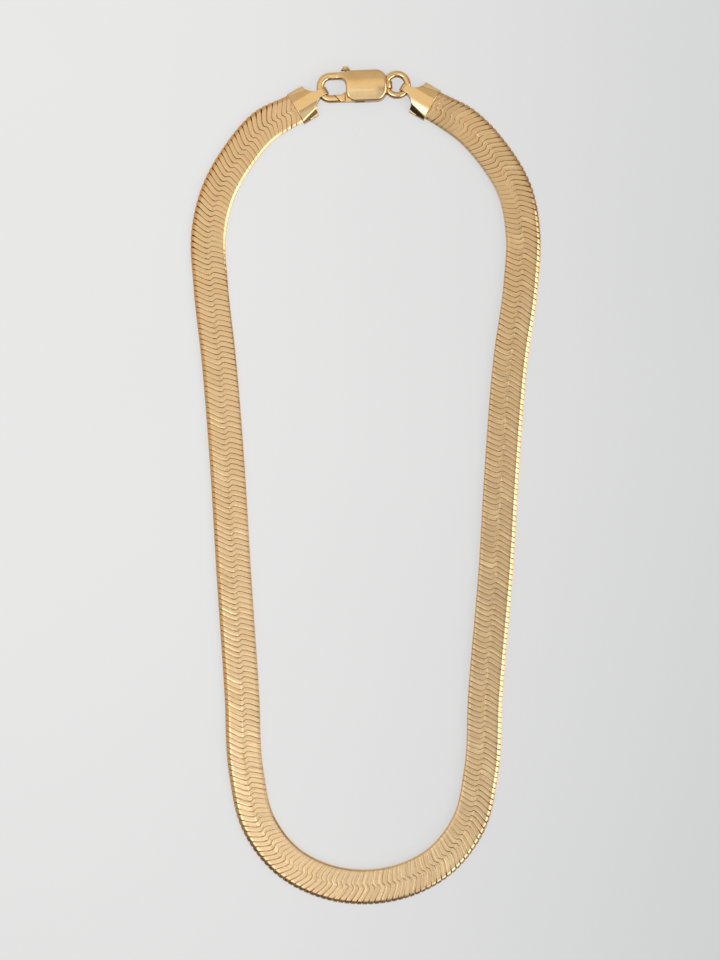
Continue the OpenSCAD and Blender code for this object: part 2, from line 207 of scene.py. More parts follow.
def closed_faces(rows: int, cols: int, loop: bool) -> tuple[Array, Array]:
    """Return the faces of a tube of rings, closed at both ends or joined into a loop.

    Args:
        rows: Number of rings.
        cols: Points in each ring.
        loop: Whether the last ring joins the first.

    Returns:
        The quads, and the triangles of the two end fans, whose middle points come
        after the rings' points.
    """
    index = np.arange(rows * cols).reshape(rows, cols)
    lower = index if loop else index[:-1]
    upper = np.roll(index, -1, axis=0) if loop else index[1:]
    quads = np.stack([lower, np.roll(lower, -1, 1), np.roll(upper, -1, 1), upper], -1)
    if loop:
        return quads.reshape(-1, 4), np.zeros((0, 3), int)
    first = np.full(cols, rows * cols)
    fans = [
        np.stack([np.roll(index[0], -1), index[0], first], -1),
        np.stack([index[-1], np.roll(index[-1], -1), first + 1], -1),
    ]
    return quads.reshape(-1, 4), np.concatenate(fans)


def signed_volume(points: Array, triangles: Array) -> float:
    """Return the volume that triangles enclose, negative where they face inwards."""
    a, b, c = (points[triangles[:, i]] for i in range(3))
    return float(np.einsum("ij,ij->i", a, np.cross(b, c)).sum() / 6.0)


def skin(name: str, rings: Array, loop: bool = False) -> Piece:
    """Make a closed solid from rings of points.

    Args:
        name: Name of the new object.
        rings: Array of rings x points x 3, in millimetres in the model's frame.
        loop: Whether the last ring joins the first, as on a torus.

    Returns:
        The new object, with its faces outwards.
    """
    rows, cols, _ = rings.shape
    quads, fans = closed_faces(rows, cols, loop)
    points = rings.reshape(-1, 3)
    if not loop:
        points = np.concatenate([points, rings[[0, -1]].mean(axis=1)])
    triangles = np.concatenate([quads[:, :3], quads[:, [0, 2, 3]], fans])
    if signed_volume(points, triangles) < 0:
        quads, fans = quads[:, ::-1], fans[:, ::-1]
    return make_mesh(name, points, quads.tolist() + fans.tolist())


def stack_outlines(name: str, outlines: list[tuple[Array, float]]) -> Piece:
    """Make a solid from outlines of as many points each, and the height of each."""
    rings = [np.column_stack([outline, np.full(len(outline), z)]) for outline, z in outlines]
    return skin(name, np.stack(rings))


def prism(name: str, outline: Array, low: float, high: float) -> Piece:
    """Make an upright prism from an outline in the plane."""
    return stack_outlines(name, [(outline, low), (outline, high)])


def slab(name: str, outline: Array, low: float, high: float, edge: float, steps: int) -> Piece:
    """Make a flat slab with rounded top and bottom edges.

    Args:
        name: Name of the new object.
        outline: Counterclockwise outline, points x 2.
        low: Height of the underside.
        high: Height of the upper side.
        edge: Radius of its edges.
        steps: Faces across each edge's round.

    Returns:
        The new object.
    """
    angles = np.linspace(0.0, math.pi / 2, steps + 1)
    insets = edge * (1.0 - np.cos(angles))
    rises = edge * (1.0 - np.sin(angles))
    lower = [(inset(outline, i), low + r) for i, r in zip(insets[::-1], rises[::-1])]
    upper = [(inset(outline, i), high - r) for i, r in zip(insets, rises)]
    return stack_outlines(name, lower + upper)


# Distances from the outline at which a cushion has points, close together on its round edge.
EDGE_STATIONS = (0.02, 0.06, 0.12, 0.2, 0.3, 0.42, 0.56)


def cushion(
    name: str,
    outline: Array,
    top: Callable[..., Array],
    low: Callable[..., Array],
    spacing: float = 0.26,
) -> Piece:
    """Make a solid between two curved faces over any outline.

    Args:
        name: Name of the new object.
        outline: Counterclockwise outline, points x 2.
        top: Height of the upper face by x, y and distance from the outline.
        low: Height of the lower face, in the same way.
        spacing: Distance between points on the faces.

    Returns:
        The new object.
    """
    after = np.roll(outline, -1, axis=0)
    parts = np.maximum(np.ceil(np.linalg.norm(after - outline, axis=1) / spacing), 1).astype(int)
    rim = np.concatenate([
        a + (b - a) * (np.arange(n) / n)[:, None] for a, b, n in zip(outline, after, parts)
    ])
    bands = [(inset(rim, d), d) for d in EDGE_STATIONS]
    kept = [points[distance_from(rim, points) > 0.97 * d] for points, d in bands]
    sides = (np.arange(rim[:, i].min(), rim[:, i].max(), spacing) for i in (0, 1))
    grid = np.stack(np.meshgrid(*sides), -1).reshape(-1, 2)
    kept.append(grid[distance_from(rim, grid) > EDGE_STATIONS[-1] + 0.4 * spacing])
    points = np.concatenate([rim, *kept])
    count = len(rim)
    edges = [(i, (i + 1) % count) for i in range(count)]
    found = delaunay_2d_cdt([Vector(p) for p in points], edges, [list(range(count))], 1, 1e-6)
    flat = np.array([tuple(p) for p in found[0]])
    faces = [list(face) for face in found[2]]
    distance = distance_from(rim, flat)
    distance[:count] = 0.0
    levels = [np.column_stack([flat, face(*flat.T, distance)]) for face in (top, low)]
    shift = len(flat)
    under = [[i + shift for i in face[::-1]] for face in faces]
    walls = [[b, a, a + shift, b + shift] for a, b in edges]
    return make_mesh(name, np.concatenate(levels), faces + under + walls)


def sweep(name: str, path: Array, section: Array, mid_z: float, slant: float) -> Piece:
    """Carry a section along a path in the plane.

    Args:
        name: Name of the new object.
        path: Points x 2 of the section's middle.
        section: Points x 2, across the path and upwards.
        mid_z: Height of the path.
        slant: How far the last section leans forward, per millimetre to its left.

    Returns:
        The new object.
    """
    heading = np.gradient(path, axis=0)
    heading /= np.linalg.norm(heading, axis=1, keepdims=True)
    left = np.stack([-heading[:, 1], heading[:, 0]], -1)
    rings = np.zeros((len(path), len(section), 3))
    rings[..., :2] = path[:, None] + left[:, None] * section[None, :, :1]
    rings[..., 2] = mid_z + section[:, 1]
    rings[-1, :, :2] += heading[-1] * (section[:, :1] * slant)
    return skin(name, rings)


def boolean(base: Piece, joined: list[Piece], cut: list[Piece]) -> Piece:
    """Join solids to a base and cut others out of it.

    Args:
        base: Solid to start from.
        joined: Solids that become part of it.
        cut: Solids that are cut out of it afterwards.

    Returns:
        The new object. All the solids that were used are removed.
    """
    for operation, tools in (("UNION", joined), ("DIFFERENCE", cut)):
        for tool in tools:
            step = base.modifiers.new(operation.title(), "BOOLEAN")
            step.operation = operation
            step.solver = "EXACT"
            step.object = tool
    bpy.context.view_layer.update()
    evaluated = base.evaluated_get(bpy.context.evaluated_depsgraph_get())
    made = link_object(base.name, bpy.data.meshes.new_from_object(evaluated))
    for used in [base, *joined, *cut]:
        bpy.data.objects.remove(used)
    return made


def shade(piece: Piece, sharp_degrees: float) -> None:
    """Shade a mesh smooth, keeping edges sharp where its faces turn by more than an angle."""
    piece.data.shade_smooth()
    piece.data.set_sharp_from_angle(angle=math.radians(sharp_degrees))


# Node trees


class Value:
    """A number that flows through a node tree and can be used in arithmetic."""

    def __init__(self, tree: "Tree", socket: Socket) -> None:
        """Hold a socket of a tree."""
        self.tree = tree
        self.socket = socket

    def __add__(self, other: "Value | float") -> "Value":
        """Return the sum."""
        return self.tree.maths("ADD", self, other)

    def __sub__(self, other: "Value | float") -> "Value":
        """Return the difference."""
        return self.tree.maths("SUBTRACT", self, other)

    def __rsub__(self, other: "Value | float") -> "Value":
        """Return the difference, this number taken from the other."""
        return self.tree.maths("SUBTRACT", other, self)

    def __mul__(self, other: "Value | float") -> "Value":
        """Return the product."""
        return self.tree.maths("MULTIPLY", self, other)

    __radd__ = __add__
    __rmul__ = __mul__

    def floor(self) -> "Value":
        """Return the whole number below this one."""
        return self.tree.maths("FLOOR", self, 0.0)

    def above(self, limit: float) -> "Value":
        """Return 1 where this number is above a limit, and 0 elsewhere."""
        return self.tree.maths("GREATER_THAN", self, limit)

    def eased(self, low: float, high: float) -> "Value":
        """Return a soft rise from 0 to 1 between two limits.

        Args:
            low: Number at which it leaves 0.
            high: Number at which it reaches 1.

        Returns:
            The share, t x t x (3 - 2t) with t from 0 to 1 between the limits.
        """
        settings = {"interpolation_type": "SMOOTHSTEP"}
        values = {"Value": self, "From Min": low, "From Max": high}
        return Value(self.tree, self.tree.add("ShaderNodeMapRange", settings, values).outputs[0])


class Tree:
    """Builds one node tree."""

    def __init__(self, node_tree: bpy.types.NodeTree) -> None:
        """Start with an empty tree.

        Args:
            node_tree: Tree of a material or a sky.
        """
        self.nodes = node_tree.nodes
        self.links = node_tree.links
        self.nodes.clear()

    def add(self, kind: str, settings: dict, values: dict) -> bpy.types.Node:
        """Add a node.

        Args:
            kind: Node type.
            settings: Node properties, set first because they change its sockets.
            values: Constants or links for its inputs, by name or number.

        Returns:
            The node.
        """
        node = self.nodes.new(kind)
        for name, setting in settings.items():
            setattr(node, name, setting)
        for key, value in values.items():
            socket = node.inputs[key]
            source = value.socket if isinstance(value, Value) else value
            if isinstance(source, Socket):
                self.links.new(source, socket)
            else:
                socket.default_value = source
        return node

    def maths(self, operation: str, a: Value | float, b: Value | float) -> Value:
        """Add a Math node and return its result."""
        node = self.add("ShaderNodeMath", {"operation": operation}, {0: a, 1: b})
        return Value(self, node.outputs[0])

    def vectors(self, operation: str, a: object, b: object) -> bpy.types.NodeOutputs:
        """Add a Vector Math node and return its outputs."""
        return self.add("ShaderNodeVectorMath", {"operation": operation}, {0: a, 1: b}).outputs

    def place(self) -> Socket:
        """Return the object's own coordinates."""
        return self.add("ShaderNodeTexCoord", {}, {}).outputs["Object"]

    def parts(self, vector: object) -> tuple[Value, Value, Value]:
        """Return a vector's x, y and z."""
        outputs = self.add("ShaderNodeSeparateXYZ", {}, {0: vector}).outputs
        return Value(self, outputs["X"]), Value(self, outputs["Y"]), Value(self, outputs["Z"])

    def joined(self, x: Value, y: Value, z: Value | float) -> Socket:
        """Return the vector of three numbers."""
        return self.add("ShaderNodeCombineXYZ", {}, {"X": x, "Y": y, "Z": z}).outputs[0]

    def attribute(self, name: str) -> Value:
        """Return a number that the mesh stores at each point."""
        node = self.add("ShaderNodeAttribute", {"attribute_name": name}, {})
        return Value(self, node.outputs["Fac"])

    def mix(self, factor: Value | float, a: object, b: object) -> Socket:
        """Mix two colours, constants or links, and return the colour.

        Args:
            factor: Share of the second colour.
            a: First colour.
            b: Second colour.

        Returns:
            The mixed colour.
        """
        settings = {"data_type": "RGBA", "clamp_factor": True}
        ends = [(*end, 1.0) if isinstance(end, tuple) else end for end in (a, b)]
        return self.add("ShaderNodeMix", settings, {0: factor, 6: ends[0], 7: ends[1]}).outputs[2]

    def noise(self, vector: object, scale: float, detail: float, distortion: float = 0.0) -> Value:
        """Return a noise value of 0 to 1 over a vector."""
        values = {"Vector": vector, "Scale": scale, "Detail": detail, "Distortion": distortion}
        return Value(self, self.add("ShaderNodeTexNoise", {}, values).outputs["Fac"])

    def bump(self, height: Value, depth: float, normal: object = None) -> Socket:
        """Return the normal of a surface raised by a height of 0 to 1 times a depth in mm.

        Args:
            height: Height, from 0 to 1.
            depth: Millimetres at a height of 1.
            normal: Normal of the surface below, if it isn't plain.

        Returns:
            The normal.
        """
        values = {"Height": height, "Distance": depth * MM, "Strength": 1.0}
        if normal is not None:
            values["Normal"] = normal
        return self.add("ShaderNodeBump", {}, values).outputs["Normal"]

    def glow(self, colour: object, strength: Value | float) -> Socket:
        """Return the light of a plain background."""
        values = {"Color": colour, "Strength": strength}
        return self.add("ShaderNodeBackground", {}, values).outputs[0]


# Finishes


class Slot(Enum):
    """Names of material slots."""

    CHAIN = "gold_chain"
    POLISHED = "gold_polished"
    WIRE = "gold_wire"


@dataclass(frozen=True)
class Finish:
    """A material with one main shader."""

    name: str

    def paint(self, tree: Tree) -> dict:
        """Add the pattern's nodes to a tree, and return the shader's values by socket."""
        raise NotImplementedError

    def build(self) -> bpy.types.Material:
        """Make the material.

        Returns:
            The material.
        """
        made = bpy.data.materials.new(self.name)
        made.use_nodes = True
        tree = Tree(made.node_tree)
        surface = tree.add("ShaderNodeBsdfPrincipled", {}, self.paint(tree))
        tree.add("ShaderNodeOutputMaterial", {}, {"Surface": surface.outputs[0]})
        return made


@dataclass(frozen=True)
class GoldFinish(Finish):
    """Polished gold plate, brushed along one direction, with painted shade on its steep flanks.
    Depths are millimetres.
    """

    colour: Colour = (0.94, 0.68, 0.36)
    deep: Colour = (0.86, 0.56, 0.25)
    deep_share: float = 0.45
    # Painted shade: a dark brown mixed into the gold where the surface turns steeply away from
    # facing up.
    flank_shade: Colour = (0.31, 0.15, 0.055)
    flank_shade_share: float = 0.85
    roughness: float = 0.1
    cloud_rough: float = 0.06
    brush_rough: float = 0.05
    scratch_rough: float = 0.08
    cloud_scale: float = 420.0
    cloud_range: Range = (0.3, 0.75)
    brush_angle: float = 0.0
    brush_scale: float = 9000.0
    brush_stretch: float = 0.06
    brush_depth: float = 0.0012
    scratch_scale: float = 1900.0
    scratch_bend: float = 1.6
    scratch_range: Range = (0.64, 0.7)
    wave_scale: float = 260.0
    wave_depth: float = 0.02

    def paint(self, tree: Tree) -> dict:
        """Return the shader's values, patterned over the object's own coordinates.

        Args:
            tree: The material's node tree.

        Returns:
            The shader's values by socket.
        """
        place = tree.place()
        turn = (0.0, 0.0, math.radians(-self.brush_angle))
        straight = tree.add(
            "ShaderNodeMapping", {"vector_type": "POINT"}, {"Vector": place, "Rotation": turn}
        ).outputs[0]
        stretched = tree.vectors("MULTIPLY", straight, (self.brush_stretch, 1.0, 1.0))[0]
        brush = tree.noise(stretched, self.brush_scale, 4.0)
        cloud = tree.noise(place, self.cloud_scale, 3.0)
        wave = tree.noise(place, self.wave_scale, 2.0)
        scratch = tree.noise(straight, self.scratch_scale, 3.0, self.scratch_bend)
        deepened = self.deep_share * cloud.eased(*self.cloud_range)
        colour = tree.mix(deepened, self.colour, self.deep)
        # Painted shade on the steep flanks, by the share stored on each point.
        colour = tree.mix(self.flank_shade_share * tree.attribute("flank_shade"), colour, self.flank_shade)
        rough = self.roughness + self.cloud_rough * cloud + self.brush_rough * brush
        rough = rough + self.scratch_rough * scratch.eased(*self.scratch_range)
        normal = tree.bump(brush, self.brush_depth, tree.bump(wave, self.wave_depth))
        return {"Base Color": colour, "Metallic": 1.0, "Roughness": rough, "Normal": normal}


@dataclass(frozen=True)
class LinkFinish(Finish):
    """The band's finish: polished links, finely lined along their length, with painted shade in the
    grooves.

    Depths are millimetres. Limits across the band are millimetres from its middle line, or
    their squares for pale_across. Limits to the right are metres from the middle.
    """

    colour: Colour = (0.83, 0.612, 0.36)
    rosy: Colour = (0.78, 0.53, 0.275)
    own_rosy: float = 0.3
    cloud_rosy: float = 0.3
    line_rosy: float = 0.35
    # Painted highlight: pale glints on groups of links on the right side, strongest near the middle
    # of the band.
    pale: Colour = (1.0, 0.78, 0.43)
    glint_share: float = 0.9
    pale_range: Range = (0.52, 0.7)
    pale_right: Range = (0.0, 0.02)
    pale_loss: float = 0.7
    pale_across: Range = (1.5, 9.0)
    pale_start: float = 0.4
    pale_along: Range = (0.1, 0.7)
    # Painted reflection: warm orange on the outer rim, on the left side only.
    rim: Colour = (0.84, 0.46, 0.17)
    rim_share: float = 0.7
    rim_reflection_across: Range = (2.9, 3.6)
    rim_reflection_right: Range = (-0.02, 0.02)
    # Painted shade: deep darkens the grooves between the links and where the rows meet.
    deep: Colour = (0.32, 0.17, 0.055)
    groove_shade_share: float = 1.3
    roughness: float = 0.2
    own_rough: float = 0.07
    line_rough: float = 0.06
    groove_rough: float = 0.2
    line_scale: tuple[float, float] = (16.0, 0.7)
    line_range: Range = (0.5, 0.75)
    line_depth: float = 0.008
    wave_scale: float = 0.09
    wave_depth: float = 0.05
    cloud_scale: float = 160.0
    # Steps through the noises that part the rows, the links' lines and the groups of links.
    row_step: float = 0.37
    own_step: float = 9.0
    group_step: float = 0.23
    group_row_step: float = 7.0

    def paint(self, tree: Tree) -> dict:
        """Return the shader's values, patterned over the links' own coordinates.

        Args:
            tree: The material's node tree.

        Returns:
            The shader's values by socket.
        """
        links = tree.add("ShaderNodeUVMap", {"uv_map": "links"}, {}).outputs[0]
        link, across, _ = tree.parts(links)
        groove = tree.attribute("groove")
        number = link.floor() + self.row_step * across.above(0.0)
        own = Value(
            tree,
            tree.add(
                "ShaderNodeTexWhiteNoise", {"noise_dimensions": "1D"}, {"W": number}
            ).outputs["Value"],
        )
        along_link, across_link = self.line_scale
        lined = tree.joined(link * along_link, across * across_link, own * self.own_step)
        lines = tree.noise(lined, 1.0, 3.0)
        wave = tree.noise(lined, self.wave_scale, 1.0)
        place = tree.place()
        cloud = tree.noise(place, self.cloud_scale, 2.0)
        right, _, _ = tree.parts(place)
        tone = tree.mix(self.own_rosy * own + self.cloud_rosy * cloud, self.colour, self.rosy)
        # Painted highlight on groups of links.
        tone = tree.mix(self.painted_glint(tree, link, across, right), tone, self.pale)
        # Painted reflection on the outer rim, fading out towards the right.
        rim = across.eased(*self.rim_reflection_across) * (1.0 - right.eased(*self.rim_reflection_right))
        tone = tree.mix(self.rim_share * rim, tone, self.rim)
        tone = tree.mix(self.line_rosy * lines.eased(*self.line_range), tone, self.rosy)
        # Painted shade in the grooves.
        colour = tree.mix(groove * self.groove_shade_share, tone, self.deep)
        rough = self.roughness + self.own_rough * own + self.line_rough * lines
        rough = rough + self.groove_rough * groove
        normal = tree.bump(lines, self.line_depth, tree.bump(wave, self.wave_depth))
        return {"Base Color": colour, "Metallic": 1.0, "Roughness": rough, "Normal": normal}

    def painted_glint(self, tree: Tree, link: Value, across: Value, right: Value) -> Value:
        """Return the share of painted highlight on each link, much alike in a group of neighbours.

        Args:
            tree: The material's node tree.
            link: Links along the band.
            across: Millimetres across the band.
            right: Metres to the right.

        Returns:
            The share: on the right side only, less towards the rims and where a link begins.
        """
        row = across.above(0.0) * self.group_row_step
        group = tree.joined(link.floor() * self.group_step, row, 0.0)
        painted_glint = tree.noise(group, 1.0, 1.0).eased(*self.pale_range)
        painted_glint = painted_glint * right.eased(*self.pale_right)
        painted_glint = painted_glint * (1.0 - self.pale_loss * (across * across).eased(*self.pale_across))
        rise = (1.0 - self.pale_start) * (link - link.floor()).eased(*self.pale_along)
        return self.glint_share * (painted_glint * (self.pale_start + rise))


@dataclass(frozen=True)
class PaperFinish(Finish):
    """The smooth pale surface that the necklace lies on, evenly lit from all sides.

    Most of its brightness is its own, which stands for light that comes in below the pieces
    and leaves nearly no shadow under them. Limits are metres from the middle.
    """

    name: str = "pale_surface"
    colour: Colour = (0.803, 0.808, 0.818)
    # Painted shade: this colour is mixed in towards the right and the foot.
    shade: Colour = (0.596, 0.608, 0.622)
    right_shade_share: float = 0.8
    right_range: Range = (-0.13, 0.13)
    down_shade_share: float = 0.3
    down_range: Range = (-0.02, 0.2)
    cloud_share: float = 0.1
    cloud_scale: float = 14.0
    glow: float = 0.757
    share_lit: float = 0.3
    roughness: float = 0.85

    def paint(self, tree: Tree) -> dict:
        """Return the shader's values, with painted shade towards the right and the foot.

        Args:
            tree: The material's node tree.

        Returns:
            The shader's values by socket.
        """
        place = tree.place()
        x, y, _ = tree.parts(place)
        right = x.eased(*self.right_range)
        down = (-1.0 * y).eased(*self.down_range)
        cloud = tree.noise(place, self.cloud_scale, 3.0)
        # Painted shade towards the right and the foot, with some random cloud.
        share = self.right_shade_share * right * right + self.down_shade_share * down
        colour = tree.mix(share + self.cloud_share * cloud, self.colour, self.shade)
        return {
            "Base Color": tree.mix(self.share_lit, (0.0, 0.0, 0.0), colour),
            "Roughness": self.roughness,
            "Emission Color": colour,
            "Emission Strength": self.glow,
        }


# Height of a unit normal below which painted shade starts on a flank, and the fall to full painted
# shade.
FLANK_START = 0.84
FLANK_FALL = 0.4


def mark_flank_shade(piece: Piece) -> None:
    """Store on each point its share of painted shade: how far it has turned from facing up or down.

    flank_shade = smooth((start - |z|) / fall), with z the height of the point's unit normal.

    Args:
        piece: Object whose mesh is marked.
    """
    mesh = piece.data
    normals = np.zeros(len(mesh.vertices) * 3)
    mesh.vertex_normals.foreach_get("vector", normals)
    flank_shade = smooth((FLANK_START - np.abs(normals[2::3])) / FLANK_FALL)
    mesh.attributes.new("flank_shade", "FLOAT", "POINT").data.foreach_set("value", flank_shade)


def dress(
    piece: Piece,
    material: bpy.types.Material,
    node: str,
    body: str = "necklace",
) -> Piece:
    """Give a finished piece its material, and let it stand for a node of the model.

    Args:
        piece: The finished piece.
        material: Its finish.
        node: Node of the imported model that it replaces.
        body: Body that it moves with.

    Returns:
        The piece.
    """
    # Mark the share of painted shade on the piece's steep flanks.
    mark_flank_shade(piece)
    piece.data.materials.clear()
    piece.data.materials.append(material)
    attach(piece, body)
    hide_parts(node)
    log.info("%s: %d faces", piece.name, len(piece.data.polygons))
    return piece


# Layout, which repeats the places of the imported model


@dataclass(frozen=True)
class Layout:
    """Places that several pieces share."""

    shift: tuple[float, float] = (0.0155, -0.1008)
    clasp_at: tuple[float, float] = (0.2, 95.3)
    clasp_tilt: float = 2.3
    left_eye: tuple[float, float] = (-10.5468, 93.5295)
    right_eye: tuple[float, float] = (9.65195, 94.4036)
    cap_slope: float = 30.5
    eye_mid_z: float = 1.25
    eye_gap: float = 0.1

    def placed(self, piece: Piece, at: tuple[float, float], degrees: float) -> Piece:
        """Turn a mesh from its own frame and move it to its place on the surface.

        Args:
            piece: Object whose mesh is moved.
            at: Place of its frame's origin, before the shift that all pieces share.
            degrees: Turn of its frame.

        Returns:
            The same object.
        """
        flat = np.zeros(len(piece.data.vertices) * 3)
        piece.data.vertices.foreach_get("co", flat)
        points = turned(flat.reshape(-1, 3), degrees)
        points[:, 0] += (at[0] + self.shift[0]) * MM
        points[:, 1] += (at[1] + self.shift[1]) * MM
        piece.data.vertices.foreach_set("co", points.ravel())
        piece.data.update()
        return piece

    def on_clasp(self, piece: Piece) -> Piece:
        """Move a mesh from the clasp's frame to its place, and return its object."""
        return self.placed(piece, self.clasp_at, self.clasp_tilt)


LAYOUT = Layout()


class Route:
    """The band's middle line: straight in each cap, and smooth through chosen points."""

    POINTS = (
        (-24, 86), (-30.5, 78.5), (-35, 70.5), (-37.5, 60), (-37, 48.5), (-35, 30),
        (-33, 5), (-31.5, -20), (-29.5, -50), (-28.5, -68), (-25.5, -80.5), (-18.5, -89.5),
        (-10, -94), (-0.5, -95.5), (9, -94), (17.5, -89.5), (24.5, -80.5), (27.5, -68),
        (28.5, -50), (31, -20), (32.5, 5), (34.5, 30), (37, 48.5), (37.5, 60), (35.5, 70.5),
        (30.5, 79), (24, 86),
    )
    SPAN_STEPS = 24
    # Points to each side over which the line's direction is evened out.
    EVENED = 3

    def __init__(self, cap_len: float, cap_grip: float) -> None:
        """Work out the line as a cubic between each two points.

        The direction at a point is the mean of those of the two chords that meet there, each
        weighted by the length of the other.

        Args:
            cap_len: Length of a cap from its eye to its mouth.
            cap_grip: Length of the band inside a cap.
        """
        start = along(180 + LAYOUT.cap_slope)
        end = along(-LAYOUT.cap_slope)
        left = np.array(LAYOUT.left_eye)
        right = np.array(LAYOUT.right_eye)
        knots = np.array([left + cap_len * start, *self.POINTS, right + cap_len * end], float)
        steps = np.diff(knots, axis=0)
        chords = np.linalg.norm(steps, axis=1)[:, None]
        before, after = chords[:-1], chords[1:]
        inner = (steps[:-1] * after / before + steps[1:] * before / after) / (before + after)
        headings = np.concatenate([[start], inner, [-end]])
        t = (np.arange(self.SPAN_STEPS) / self.SPAN_STEPS)[None, :, None]
        spans = (
            knots[:-1, None] * (1 + 2 * t) * (1 - t) ** 2
            + (headings[:-1] * chords)[:, None] * t * (1 - t) ** 2
            + knots[1:, None] * t**2 * (3 - 2 * t)
            - (headings[1:] * chords)[:, None] * t**2 * (1 - t)
        )
        grip = cap_len - cap_grip
        ends = left + grip * start, right + grip * end
        line = np.concatenate([[ends[0]], spans.reshape(-1, 2), [knots[-1]], [ends[1]]])
        self.line = line + np.array(LAYOUT.shift)
        lengths = np.linalg.norm(np.diff(self.line, axis=0), axis=1)
        self.run = np.concatenate([[0.0], np.cumsum(lengths)])
        self.length = float(self.run[-1])
        heading = np.gradient(self.line, axis=0)
        angle = np.unwrap(np.arctan2(heading[:, 1], heading[:, 0]))
        window = 2 * self.EVENED + 1
        padded = np.pad(angle, self.EVENED, "edge")
        self.angle = np.convolve(padded, np.full(window, 1 / window), "valid")
        self.bending = np.gradient(self.angle, self.run)

    def at(self, s: Array, v: Array) -> tuple[Array, Array]:
        """Return the x and y of points s along the line and v outwards from it.

        Args:
            s: Distance along the line.
            v: Distance outwards from it.

        Returns:
            The x and the y of the points.
        """
        angle = np.interp(s, self.run, self.angle)
        x = np.interp(s, self.run, self.line[:, 0]) + v * np.sin(angle)
        y = np.interp(s, self.run, self.line[:, 1]) - v * np.cos(angle)
        return x, y

    def bend(self, s: Array) -> Array:
        """Return the line's curvature per millimetre, positive where it turns about the inside."""
        return np.interp(s, self.run, self.bending)


# The chain


@dataclass(frozen=True)
class LinkRow:
    """One of the band's two rows of links: its section, and how deep its grooves are.

    Attributes:
        side: 1 for the outer row, -1 for the inner row.
        flat: Points on the flat top, by distance from the middle line.
        bevel: Points on the bevel: share of its width, and drop as a share of the thickness.
        tuck: Share of the bevel's width that is left near the underside.
        depth: Depth of the grooves, and what it gains away from the middle, at the rim and
            where the rows meet, all as shares of the full depth.
        opening: How much grooves open where the band bends, and what that gains at the rim.
        ramp: Length over which the grooves begin outside the caps.
    """

    side: int
    flat: tuple[float, ...]
    bevel: tuple[tuple[float, float], ...]
    tuck: float
    depth: tuple[float, float, float, float]
    opening: tuple[float, float]
    ramp: float
    gain_len: float = 1.5
    limits: Range = (0.15, 1.7)
    start: float = 3.2

    def section(self) -> list[tuple[float, ...]]:
        """Return the row's points from the middle line over the top to the underside.

        Returns:
            For each point its side, distance from the middle line on the flat, share of the
            bevel, height as a share of the thickness, and how far the grooves reach it.
        """
        edge = self.flat[-1]
        row = [(v, 0.0, 1.0, 1.0) for v in self.flat]
        row += [(edge, share, 1.0 - drop, 1.0) for share, drop in self.bevel]
        row += [(edge, 1.0, 0.4, 0.6), (edge, self.tuck, 0.12, 0.0)]
        row += [(edge - 0.2, 0.0, 0.0, 0.0), (1.2, 0.0, 0.0, 0.0)]
        return [(self.side, *point) for point in row]

    def groove(self, v: Array, rim: Array, seam: Array, from_end: Array, bending: Array) -> Array:
        """Return how deep the grooves are, as a share of their full depth.

        They are deepest at the rims and where the rows meet. Where the band bends they open
        on the outside and close on the inside. They start a little way outside the caps.

        Args:
            v: Distance from the middle line.
            rim: 1 at the rim, 0 over the middle of the row.
            seam: 1 where the rows meet, 0 a little way off.
            from_end: Distance from the nearer end of the band.
            bending: Curvature times distance from the middle line.

        Returns:
            The share at each point.
        """
        own, away, at_rim, at_seam = self.depth
        depth = own + away * smooth(v / self.gain_len) + at_rim * rim + at_seam * seam
        opened = (self.opening[0] + self.opening[1] * rim) * bending
        depth = depth * np.clip(1 + opened, *self.limits)
        return depth * smooth((from_end - self.start) / self.ramp)


OUTER_ROW = LinkRow(
    side=1,
    flat=(0.05, 0.35, 0.7, 1.1, 1.6, 2.1, 2.6, 3.15),
    bevel=((0.1, 0.012), (0.25, 0.05), (0.5, 0.145), (0.7, 0.24), (1.0, 0.4)),
    tuck=0.9,
    depth=(0.5, 0.0, 0.6, 0.6),
    opening=(1.5, 3.5),
    ramp=0.8,
)
INNER_ROW = LinkRow(
    side=-1,
    flat=(0.05, 0.25, 0.42, 0.6, 0.8, 1.05, 1.5, 2.0, 2.6, 3.2, 3.6),
    bevel=((0.1, 0.012), (0.25, 0.05), (0.9, 0.235), (1.0, 0.34)),
    tuck=0.75,
    depth=(0.45, 0.15, 0.3, 0.95),
    opening=(2.5, 2.5),
    ramp=2.0,
)


